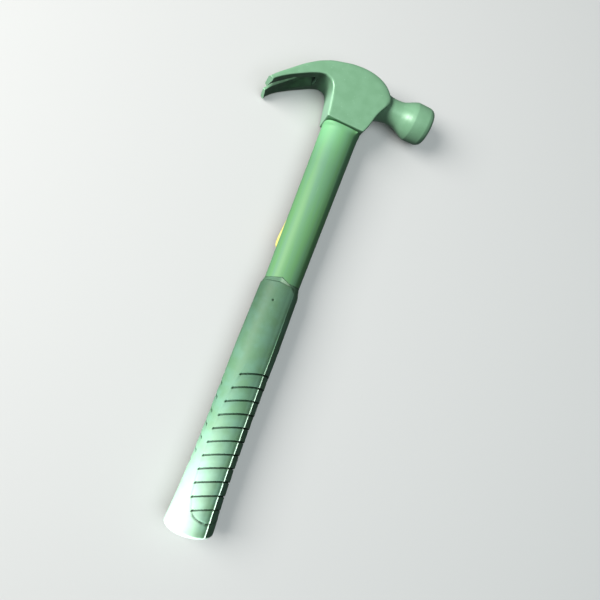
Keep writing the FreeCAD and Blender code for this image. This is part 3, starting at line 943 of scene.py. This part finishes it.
        # painted shade and painted highlight, stored for the lacquer's colour
        painted_shade, painted_highlight = self.painted_shading(points, normal_array(head))
        add_attribute(head, "recess", painted_shade)
        add_attribute(head, "flash", painted_highlight)
        dress(head, LACQUERED_STEEL.material(), "head")
        return head


# ---------------------------------------------------------------- handle


@dataclass
class ShaftJacket:
    """Moulded jacket between head and grip: oval rings from the socket foot into the butt."""

    datum: Datum
    top: float = -0.6
    low: float = -113.0
    foot: float = -274.0
    bore: float = 7.65
    around: int = 220

    # Half widths across the poll and through the cheeks at the top, at the grip's mouth and at the foot.
    HALF_X = (13.2, 12.3, 11.4)
    HALF_Z = (10.9, 10.3, 9.6)

    def build(self) -> bpy.types.Object:
        """Outer rings down the handle and the bore's rings back up, joined at both ends.

        A ring is a rounded square under the socket and an oval lower down.

        Returns:
            The dressed jacket.
        """
        stations = np.array([self.top, self.top - 0.25, self.top - 0.7, -2.0, -2.6, -3.2, -4.0, -6.0, -12.0,
                             -20.0, -30.0, -45.0, -70.0, -90.0, self.low, self.foot])
        half_x, half_z = (np.interp(-stations, [-self.top, -self.low, -self.foot], half)
                          for half in (self.HALF_X, self.HALF_Z))
        shrink = np.array([0.35, 0.1] + [0.0] * (len(stations) - 2))
        degrees = np.linspace(0.0, 360.0, self.around, endpoint=False)
        angle = np.radians(degrees)
        flash = np.exp(-0.5 * (turn_between(degrees, Side.SEAM.value) / 2.6) ** 2)
        flash = flash * (0.75 * rise(stations, -2.6, -1.0) + 0.06 * rise(stations, -112.0, -100.0))[:, None]
        radius_x = (half_x - shrink)[:, None] + flash
        radius_z = (half_z - shrink)[:, None] + flash
        square = (3.2 - 1.2 * rise(-stations, 0.8, 4.5))[:, None]
        bulge = (np.abs(np.cos(angle)) ** square + np.abs(np.sin(angle)) ** square) ** (-1 / square)
        outer = np.stack([bulge * radius_x * np.cos(angle), stations[:, None] + 0 * angle,
                          bulge * radius_z * np.sin(angle)], axis=2)
        inner_y = stations[[-1, 0]][:, None]
        inner = np.stack([self.bore * np.cos(angle) + 0 * inner_y, inner_y + 0 * angle,
                          self.bore * np.sin(angle) + 0 * inner_y], axis=2)
        grid = self.datum.place(np.concatenate([outer, inner]))
        jacket = skin("jacket", grid, ring_ends=True)
        # painted reflected light from the head, on the claw side near the top
        painted_sheen = rise(stations, -30.0, -1.5)[:, None] * (0.5 - 0.5 * np.cos(angle))
        add_attribute(jacket, "flash", painted_sheen.ravel())
        add_attribute(jacket, "recess", np.zeros_like(painted_sheen).ravel())
        dress(jacket, MOULDED_JACKET.material(), "shaft_jacket")
        return jacket


@dataclass
class GripSleeve:
    """Soft moulded sleeve: bevelled mouth, mould line, two groove panels and a swelling butt.

    A ring of the sleeve rises towards both mould lines as the grooves do, so a groove follows a
    ring. Its radius is the oval at that height, plus the mould line's ridge, less the grooves where
    the ring and the direction lie inside a panel. Grooves lie a little further apart past the number
    stretch_from. A degree round the sleeve is degree_run millimetres along it.
    """

    datum: Datum
    around: int = 270
    pitch: float = 9.06
    palm_first: float = -182.6
    finger_first: float = -183.8
    tilt: float = 0.4986
    groove_depth: float = 1.25
    groove_half: float = 0.62
    mouth: float = -111.0
    butt_edge: float = 284.2
    end: float = -288.0
    mouth_half_x: float = 12.38
    mouth_half_z: float = 10.38
    stretch_from: float = 7.5
    stretch: float = 0.045
    row_stretch: float = 0.047
    degree_run: float = 0.25
    gate_turn: float = 102.8
    gate_height: float = -127.3

    STATIONS = ((-109.0, 13.7, 11.6), (-117.0, 13.75, 11.7), (-130.0, 14.0, 12.0), (-160.0, 14.55, 12.6),
                (-190.0, 14.55, 12.7), (-215.0, 14.6, 12.8), (-240.0, 14.85, 12.9), (-262.0, 15.5, 13.1),
                (-274.0, 16.2, 13.35), (-282.6, 16.75, 13.45))
    # Half widths of the panels at each groove, in degrees round the sleeve from the mould line.
    PALM_LEAF = (63.5, 71.0, 75.5, 79.5, 81.0, 81.0, 79.5, 76.8, 72.0, 65.7, 53.0)
    FINGER_LEAF = (38.0, 67.0, 70.0, 71.5, 72.0, 71.5, 69.5, 56.0)
    # The border's closing arc below the last groove: grooves past the last, part of its half width.
    ARC = ((0.0, 1.0), (0.37, 0.87), (0.57, 0.73), (0.76, 0.56), (0.87, 0.40), (0.98, 0.16), (1.02, 0.0))
    # The mouth's edges round the sleeve: direction, upper edge, lower edge.
    MOUTH = (
        (0.0, -115.6, -122.0), (30.0, -115.4, -121.0), (52.0, -115.0, -119.0), (66.0, -114.4, -115.6),
        (75.0, -113.7, -115.3), (92.0, -112.1, -115.2), (103.0, -110.9, -115.0), (107.0, -111.4, -115.0),
        (118.0, -112.0, -115.5), (131.0, -112.7, -115.8), (150.0, -113.5, -116.4), (165.0, -113.8, -117.6),
        (185.0, -114.4, -118.2), (240.0, -115.2, -119.5), (300.0, -115.5, -121.5), (360.0, -115.6, -122.0))

    def rows(self) -> np.ndarray:
        """Heights of the rings: fine across each groove, the mouth and the butt's rim.

        Returns:
            Heights at the handle's line, from the mouth down to the end.
        """
        groove = np.array([-1.5, -0.95, -0.7, -0.5, -0.25, 0.0, 0.25, 0.5, 0.7, 0.95])
        marks = [np.arange(-118.5, -288.0, -1.45)]
        for first, leaf in ((self.palm_first, self.PALM_LEAF), (self.finger_first, self.FINGER_LEAF)):
            count = np.arange(len(leaf))
            count = count + self.row_stretch * np.clip(count - self.stretch_from, 0.0, None)
            marks.append(((first - self.pitch * count)[:, None] + groove).ravel())
        marks.append(np.linspace(self.mouth, -118.5, 30))
        marks.append(np.linspace(-126.6, -129.2, 10))
        marks.append(np.linspace(-272.7, -281.0, 20))
        marks.append(np.linspace(-281.0, self.end, 26))
        rows = np.sort(np.concatenate(marks))[::-1]
        keep = np.concatenate([[True], np.diff(rows) < -0.1])
        keep[-1] = True
        return rows[keep]

    def crispness(self, degrees: np.ndarray) -> np.ndarray:
        """Share of the mouth's crisp steps in each direction, the rest being a soft slope."""
        return rise(degrees, 56.0, 70.0) * (1 - rise(degrees, 250.0, 290.0))

    def outer(self, rows: np.ndarray, degrees: np.ndarray) -> tuple[np.ndarray, np.ndarray, np.ndarray]:
        """Outer surface as an array of rings, with its painted shade and painted highlight.

        Args:
            rows: Heights of the rings at the handle's line.
            degrees: Directions round the handle.

        Returns:
            Points of shape (rings, directions, 3) in millimetres, and for each its painted shade and painted
            highlight.
        """
        angle = np.radians(degrees)[None, :]
        row = rows[:, None] + 0 * angle
        stations, wide, deep = np.array(self.STATIONS).T
        level = rise(-row, 122.0, 150.0) * (1 - rise(-row, 273.5, 288.0))
        lean = self.tilt * np.abs(np.cos(angle - math.radians(Side.SEAM.value)))
        height = row + np.interp(-row, -stations, wide) * lean * level
        upper, lower = (np.interp(degrees, *np.array(self.MOUTH).T[[0, column]]) for column in (1, 2))
        height = height + (upper[None, :] - self.mouth) * (1 - rise(-row, 112.0, 128.0))
        half_x = np.interp(-height, -stations, wide)
        half_z = np.interp(-height, -stations, deep)
        down = np.clip((upper[None, :] - height) / (upper - lower)[None, :], 0.0, 1.0)
        crisp = self.crispness(degrees)[None, :]
        stepped = 0.22 * rise(down, 0.0, 0.12) + 0.30 * rise(down, 0.2, 0.8) + 0.48 * rise(down, 0.86, 1.0)
        bevel = 1 - stepped * crisp - rise(down, -0.3, 1.0) * (1 - crisp)
        half_x = half_x - (half_x - self.mouth_half_x) * bevel
        half_z = half_z - (half_z - self.mouth_half_z) * bevel
        past = np.clip(-height - self.butt_edge, 0.0, None)
        rim = np.clip(past / (-self.end - self.butt_edge), 0.0, 1.0)
        drop = 0.6 * past + 4.6 * (1 - np.sqrt(np.clip(1 - rim**2, 0.0, 1.0)))
        half_x = half_x - drop
        half_z = half_z - drop
        plane = height - np.interp(-row, -stations, wide) * lean
        relief = self.relief(np.where(row < -200.0, plane, row), height, degrees[None, :])
        points = np.stack([(half_x + relief) * np.cos(angle), height,
                           (half_z + relief) * np.sin(angle)], axis=2)
        return points, *self.painted_shading(height, down, relief, degrees, (upper, lower))

    def painted_shading(self, height: np.ndarray, down: np.ndarray, relief: np.ndarray, degrees: np.ndarray,
             edges: tuple[np.ndarray, np.ndarray]) -> tuple[np.ndarray, np.ndarray]:
        """Painted shade and painted highlight on the rubber.

        The grooves, the mouth's creases and its inner band get painted shade, and so does the claw side of
        the skin just below the mouth. The mouth's facet, the mould line, the butt's rim and the low upper
        side get painted highlight.

        Args:
            height: Height of each point.
            down: How far each point is down the mouth's slope, from 0 to 1.
            relief: Height of the moulding at each point.
            degrees: Directions round the handle.
            edges: Heights of the mouth's upper and lower edges in each direction.

        Returns:
            For each point the darkness and the paleness, both from 0 to 1.
        """
        upper, lower = edges
        crisp = self.crispness(degrees)[None, :]
        # painted shade in the grooves, dots, gate mark and the mouth's creases and inner band
        crease = np.exp(-0.5 * ((down - 0.92) / 0.07) ** 2) + np.exp(-0.5 * ((down - 0.04) / 0.05) ** 2)
        inner = rise(down, 0.0, 0.1) * (1 - rise(down, 0.9, 1.0)) * rise(degrees, 98.0, 116.0)[None, :]
        creased = (0.6 * crease * (down > 0) * rise(degrees, 62.0, 72.0)[None, :] + 0.34 * inner) * crisp
        painted_shade = np.clip(np.clip(-relief - 0.15, 0.0, None) / 0.6 + creased, 0.0, 1.0)
        # painted shade on the claw side just below the mouth, where less light falls
        claw_side = (rise(degrees, 95.0, 150.0) * (1 - rise(degrees, 220.0, 260.0)))[None, :]
        painted_mouth_shade = 0.24 * (1 - rise(-height, 122.0, 175.0)) * (height < lower) * claw_side
        painted_shade = np.clip(painted_shade + painted_mouth_shade, 0.0, 1.0)
        # painted highlight: the mouth's facet, the mould line, the butt's rim and the upper side towards the
        # butt
        facet = rise(down, 0.05, 0.2) * (1 - rise(down, 0.8, 0.95)) * crisp * (upper > lower + 0.5)[None, :]
        facet = facet * (rise(degrees, 66.0, 78.0) * (1 - rise(degrees, 99.0, 107.0)))[None, :]
        seam = np.exp(-0.5 * (turn_between(degrees, Side.SEAM.value) / 1.0) ** 2)[None, :]
        painted_highlight = 0.9 * seam * rise(-height, 150.0, 200.0) + 0.45 * rise(-height, 284.0, 284.8)
        upper_side = (rise(degrees, 52.0, 95.0) * (1 - rise(degrees, 205.0, 240.0)))[None, :]
        painted_sheen = 0.26 * rise(-height, 192.0, 290.0) * upper_side
        return painted_shade, np.clip(0.2 * facet + painted_highlight + painted_sheen, 0.0, 1.0)

    def relief(self, row: np.ndarray, height: np.ndarray, degrees: np.ndarray) -> np.ndarray:
        """Height of the moulding over the plain oval: mould line up, panels and gate mark down.

        Args:
            row: Height of each point's ring.
            height: Height of each point.
            degrees: Direction of each point.

        Returns:
            The height of the moulding.
        """
        line = sum(np.exp(-0.5 * (turn_between(degrees, side.value) / 1.0) ** 2)
                   for side in (Side.SEAM, Side.FAR_SEAM))
        wave = 0.8 + 0.2 * np.sin(height * 1.9) * np.sin(height * 0.73 + 1.0)
        grown = rise(-height, 114.0, 117.0) * (0.12 + 0.33 * rise(-height, 125.0, 175.0))
        ridge = wave * line * grown * (1 - rise(-height, 284.0, 285.0))
        gate = np.hypot(turn_between(degrees, self.gate_turn) * 0.245, height - self.gate_height)
        mark = 0.9 * np.exp(-0.5 * (gate / 0.42) ** 2)
        palm = self.panel(row, degrees, Side.SEAM, self.palm_first, self.PALM_LEAF)
        fingers = self.panel(row, degrees, Side.FAR_SEAM, self.finger_first, self.FINGER_LEAF)
        return ridge - mark - palm - fingers

    def panel(self, row: np.ndarray, degrees: np.ndarray, side: Side, first: float,
              leaf: tuple[float, ...]) -> np.ndarray:
        """Depth of one groove panel.

        Each groove is a round channel with a dot at both its ends. The pads between them swell towards
        the next groove. A fine border joins the grooves' ends and closes below the last one.

        Args:
            row: Height of each point's ring.
            degrees: Direction of each point.
            side: The mould line in the middle of the panel.
            first: Height of the first groove.
            leaf: The panel's half width at each groove, in degrees.

        Returns:
            Depth below the plain oval.
        """
        number = (first - row) / self.pitch
        number = number - self.stretch * np.clip(number - self.stretch_from, 0.0, None)
        nearest = np.clip(np.round(number), 0, len(leaf) - 1)
        off = (number - nearest) * self.pitch
        turn = np.abs(turn_between(degrees, side.value))
        ends = np.array(leaf)[nearest.astype(int)]
        short = (ends - turn) * self.degree_run
        bowl = np.sqrt(np.clip(1 - (off / self.groove_half) ** 2, 0.0, 1.0)) * rise(short, -0.5, 0.2)
        dot = np.exp(-0.5 * (np.hypot(off, short - 0.4) / 0.62) ** 4)
        last = len(leaf) - 1
        knots = np.concatenate([np.arange(last), last + np.array(self.ARC)[:, 0]])
        edge = np.interp(number, knots, np.concatenate([leaf[:-1], leaf[-1] * np.array(self.ARC)[:, 1]]))
        edge = np.where(number < 0, leaf[0] + 8.0 * number, edge)
        inside = rise((edge - turn) * self.degree_run, 0.0, 0.5)
        inside = inside * rise(number, -0.9, -0.2) * (number < last + 1.02)
        within = np.mod(number, 1.0)
        pad = 0.20 * (1 - rise(within, 0.2, 0.95)) + 0.02
        across = self.border_distance(number, turn, knots, leaf)
        border = np.exp(-0.5 * (across / 0.24) ** 2) * (0.10 + 0.12 * rise(number, 2.0, 9.0)
                                                        + 0.45 * rise(number, last, last + 0.5))
        shallow = pad * inside + border * rise(number, -0.3, 0.2)
        return np.maximum(self.groove_depth * np.maximum(bowl, dot), shallow)

    def border_distance(self, number: np.ndarray, turn: np.ndarray, knots: np.ndarray,
                        leaf: tuple[float, ...]) -> np.ndarray:
        """Distance in millimetres from each point to a panel's border line.

        Args:
            number: Groove number of each point, counted in pitches.
            turn: Turn of each point from the mould line, in degrees.
            knots: Groove numbers of the border's corners.
            leaf: The panel's half width at each groove, in degrees.

        Returns:
            The distance to the nearest of the border's spans.
        """
        widths = np.concatenate([leaf[:-1], leaf[-1] * np.array(self.ARC)[:, 1]])
        corners = np.stack([knots * self.pitch, widths * self.degree_run], axis=1)
        round_sleeve = np.broadcast_to(turn, number.shape) * self.degree_run
        place = np.stack([number * self.pitch, round_sleeve], axis=-1)
        nearest = np.full(number.shape, 1e3)
        for start, end in zip(corners[:-1], corners[1:]):
            span = end - start
            part = np.clip(((place - start) @ span) / (span @ span), 0.0, 1.0)
            gap = np.linalg.norm(place - start - part[..., None] * span, axis=-1)
            nearest = np.minimum(nearest, gap)
        return nearest

    def build(self) -> bpy.types.Object:
        """Outer rings from the mouth to the end, and the cavity's rings that hold the jacket.

        Returns:
            The dressed grip.
        """
        degrees = np.linspace(0.0, 360.0, self.around, endpoint=False)
        near = np.array([-3.0, -2.1, -1.5, -1.0, -0.5, 0.0, 0.5, 1.0, 1.5, 2.1, 3.0])
        degrees = np.unique(np.round(np.concatenate([degrees, Side.SEAM.value + near,
                                                     Side.FAR_SEAM.value + near]), 3))
        degrees = degrees[np.concatenate([[True], np.diff(degrees) > 0.3])]
        outer, painted_shade, painted_highlight = self.outer(self.rows(), degrees)
        angle = np.radians(degrees)
        cavity = []
        for level, half_x, half_z in ((-274.05, 11.45, 9.65), (-113.6, 12.33, 10.33)):
            ring = (half_x * np.cos(angle), level + 0 * angle, half_z * np.sin(angle))
            cavity.append(np.stack(ring, axis=1))
        grid = np.concatenate([np.array(cavity), outer])
        grip = skin("grip", self.datum.place(grid))
        # painted shade and painted highlight, stored for the rubber's colour
        for name, values in (("recess", painted_shade), ("flash", painted_highlight)):
            add_attribute(grip, name, np.concatenate([np.zeros((2, len(degrees))), values]).ravel())
        dress(grip, GRIP_RUBBER.material(), "grip_sleeve")
        return grip


@dataclass
class NamePad:
    """Blank pad low on the claw side of the jacket, rising towards its lower end."""

    datum: Datum
    top: float = -72.0
    foot: float = -92.6
    turn: float = 197.5
    half_turn: float = 13.5

    def build(self) -> bpy.types.Object:
        """Rings along the pad: an arc that follows the jacket, raised in the middle, and a sunk back.

        The rise grows from the upper end to near the lower end and then falls off in a round nose. A
        fine step runs along the crest.

        Returns:
            The dressed pad.
        """
        part = np.concatenate([np.linspace(0.0, 0.7, 24), np.linspace(0.71, 1.0, 36)])
        station = (self.top + (self.foot - self.top) * part)[:, None]
        swell = (0.25 + 1.35 * rise(part, 0.0, 0.78)) * np.sqrt(np.clip(1 - ((part - 0.8) / 0.2) ** 2, 0, 1))
        swell = np.where(part < 0.8, 0.25 + 1.35 * rise(part, 0.0, 0.78), swell)
        width = self.half_turn * np.sqrt(np.clip(1 - np.abs(2 * part - 1) ** 3.5, 0.02, 1))
        across = np.linspace(-1.0, 1.0, 41)
        section = (1 - np.abs(across) ** 3) ** 0.6
        section = section * (1 - 0.10 * np.exp(-0.5 * ((np.abs(across) - 0.45) / 0.06) ** 2))
        face_turn = np.radians(self.turn + width[:, None] * across)
        face = self.arc(station, face_turn, 0.05 + swell[:, None] * section)
        back_turn = np.radians(self.turn + width[:, None] * across[::-1])
        back = self.arc(station, back_turn, np.full_like(back_turn, -0.6))
        pad = skin("pad", self.datum.place(np.concatenate([face, back], axis=1)))
        dress(pad, PAD_PLASTIC.material(), "name_pad")
        return pad

    def arc(self, station: np.ndarray, turn: np.ndarray, rise_over: np.ndarray) -> np.ndarray:
        """Points at a height over the jacket's oval.

        Args:
            station: Height on the handle of each ring.
            turn: Direction of each point, in radians.
            rise_over: Height of each point over the jacket.

        Returns:
            Array of shape (rings, points, 3) in millimetres.
        """
        half_x, half_z = (np.interp(-station, [-ShaftJacket.top, -ShaftJacket.low], half[:2]) + rise_over
                          for half in (ShaftJacket.HALF_X, ShaftJacket.HALF_Z))
        return np.stack([half_x * np.cos(turn), station + 0 * turn, half_z * np.sin(turn)], axis=2)


def dress(piece: bpy.types.Object, material: bpy.types.Material, node: str) -> None:
    """Give a finished piece its material in a slot and its body, and hide the CAD node that it stands for.

    Args:
        piece: The finished piece.
        material: Its finish.
        node: The CAD node that it replaces.
    """
    piece.data.materials.clear()
    piece.data.materials.append(material)
    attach(piece, ROOT)
    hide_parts(node)


def dress_kept(node: str, finish: Finish) -> bpy.types.Object:
    """Give a CAD node that keeps its shape a finish.

    Args:
        node: The node's name.
        finish: Its finish.

    Returns:
        The node's object.
    """
    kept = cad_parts[node]
    kept.data.materials.clear()
    kept.data.materials.append(finish.material())
    return kept


# ---------------------------------------------------------------- studio


@dataclass
class Studio:
    """Pale floor, soft lights and the camera."""

    floor_tone: tuple[float, float, float] = (0.57, 0.56, 0.55)
    camera_place: tuple[float, float, float] = (-0.04903, -0.02227, 0.3595)
    camera_right: tuple[float, float, float] = (0.91322, 0.35491, 0.20017)
    camera_up: tuple[float, float, float] = (-0.36224, 0.93209, 0.0)
    lens: float = 31.2

    def floor(self) -> bpy.types.Object:
        """Plain floor under the hammer, far larger than the view.

        Returns:
            The floor.
        """
        half = 3.0
        corners = np.array([(-half, -half, 0), (half, -half, 0), (half, half, 0), (-half, half, 0)], float)
        corners[:, 2] = -0.0002
        mesh = bpy.data.meshes.new("floor")
        mesh.from_pydata(corners.tolist(), [], [(0, 1, 2, 3)])
        floor = bpy.data.objects.new("floor", mesh)
        bpy.context.scene.collection.objects.link(floor)
        material = bpy.data.materials.new("floor")
        material.use_nodes = True
        shader = material.node_tree.nodes["Principled BSDF"]
        shader.inputs["Base Color"].default_value = (*self.floor_tone, 1.0)
        shader.inputs["Roughness"].default_value = 0.8
        shader.inputs["Specular IOR Level"].default_value = 0.2
        mesh.materials.append(material)
        floor.visible_diffuse = False
        floor.visible_glossy = False
        return floor

    def aim(self, lamp: bpy.types.Light, place: tuple[float, float, float],
            target: tuple[float, float, float]) -> bpy.types.Object:
        """Hang a lamp at a place so that it points at a target.

        Args:
            lamp: The lamp's data.
            place: Where it hangs, in metres.
            target: The point that it faces.

        Returns:
            The lamp's object.
        """
        holder = bpy.data.objects.new(lamp.name, lamp)
        holder.location = place
        holder.rotation_euler = (Vector(target) - Vector(place)).to_track_quat("-Z", "Y").to_euler()
        holder.visible_camera = False
        bpy.context.scene.collection.objects.link(holder)
        return holder

    def light(self, name: str, place: tuple[float, float, float], target: tuple[float, float, float],
              size: float, power: float, colour: tuple[float, float, float]) -> bpy.types.Object:
        """Add one square soft light.

        Args:
            name: The light's name.
            place: Where it hangs, in metres.
            target: The point that it faces.
            size: Its side, in metres.
            power: Its power, in watts.
            colour: Its colour.

        Returns:
            The light's object.
        """
        lamp = bpy.data.lights.new(name, "AREA")
        lamp.size = size
        lamp.energy = power
        lamp.color = colour
        return self.aim(lamp, place, target)

    def spot(self, name: str, place: tuple[float, float, float], target: tuple[float, float, float],
             half_angle: float, power: float, colour: tuple[float, float, float]) -> bpy.types.Object:
        """Add one soft-edged lamp with a narrow beam.

        Args:
            name: The lamp's name.
            place: Where it hangs, in metres.
            target: The point that it faces.
            half_angle: Half the beam's angle, in degrees.
            power: Its power, in watts.
            colour: Its colour.

        Returns:
            The lamp's object.
        """
        lamp = bpy.data.lights.new(name, "SPOT")
        lamp.energy = power
        lamp.color = colour
        lamp.spot_size = math.radians(2 * half_angle)
        lamp.spot_blend = 1.0
        lamp.shadow_soft_size = 0.05
        return self.aim(lamp, place, target)

    def lights(self) -> None:
        """Key from the left, a narrow lamp on the butt, a weak overhead light and little fill."""
        cool = (0.88, 0.98, 1.0)
        key_place, centre = (-0.93, 0.10, 0.80), (0.0, 0.0, 0.01)
        receivers = {
            "hammer_only": [self.light("key", key_place, centre, 0.40, 30.0, (1.0, 1.0, 0.96)),
                            self.light("overhead", (0.02, 0.02, 0.95), centre, 0.5, 1.4, cool)],
            "grip_only": [self.spot("butt_lamp", (-0.37, -0.41, 0.30), (0.0, -0.25, 0.0), 26.0, 80.0, cool)],
            "floor_only": [self.light("floor_key", key_place, centre, 0.8, 19.0, (1.0, 1.0, 0.98)),
                           self.light("floor_fill", (0.35, -0.1, 1.3), (0.1, -0.05, 0.0), 1.2, 14.0, cool)],
        }
        lit = {"hammer_only": [piece for piece in bpy.data.objects if piece.type == "MESH"
                               and piece.name != "floor"],
               "grip_only": [bpy.data.objects["grip"]], "floor_only": [bpy.data.objects["floor"]]}
        for name, lamps in receivers.items():
            group = bpy.data.collections.new(name)
            for piece in lit[name]:
                group.objects.link(piece)
            for lamp in lamps:
                lamp.light_linking.receiver_collection = group
        world = bpy.data.worlds.new("studio")
        world.use_nodes = True
        world.node_tree.nodes["Background"].inputs["Color"].default_value = (0.9, 0.97, 1.0, 1.0)
        world.node_tree.nodes["Background"].inputs["Strength"].default_value = 0.12
        bpy.context.scene.world = world

    def camera(self) -> None:
        """Camera above the hammer, tilted a little towards the striking side."""
        lens = bpy.data.cameras.new("camera")
        lens.lens = self.lens
        lens.sensor_width = 36.0
        lens.clip_start = 0.01
        holder = bpy.data.objects.new("camera", lens)
        right, up = Vector(self.camera_right), Vector(self.camera_up)
        back = right.cross(up)
        turn = Matrix((right, up, back)).transposed().to_4x4()
        holder.matrix_world = Matrix.Translation(self.camera_place) @ turn
        bpy.context.scene.collection.objects.link(holder)
        bpy.context.scene.camera = holder

    def build(self) -> None:
        """Make the whole studio."""
        self.floor()
        self.lights()
        self.camera()
        view = bpy.context.scene.view_settings
        view.view_transform = "Standard"
        view.look = "None"


def main() -> None:
    """Build every piece in order and report it."""
    datum = Datum.from_frame()
    for maker in (ForgedHead(datum), ShaftJacket(datum), GripSleeve(datum), NamePad(datum)):
        piece = maker.build()
        LOG.info("%s: %d faces", piece.name, len(piece.data.polygons))
    for node, finish in (("fibreglass_core", GLASS_FIBRE), ("eye_resin", CAST_RESIN)):
        LOG.info("%s keeps its shape", dress_kept(node, finish).name)
    Studio().build()


if __name__ == "__main__":
    logging.basicConfig(level=logging.INFO, format="%(name)s: %(message)s")
    main()
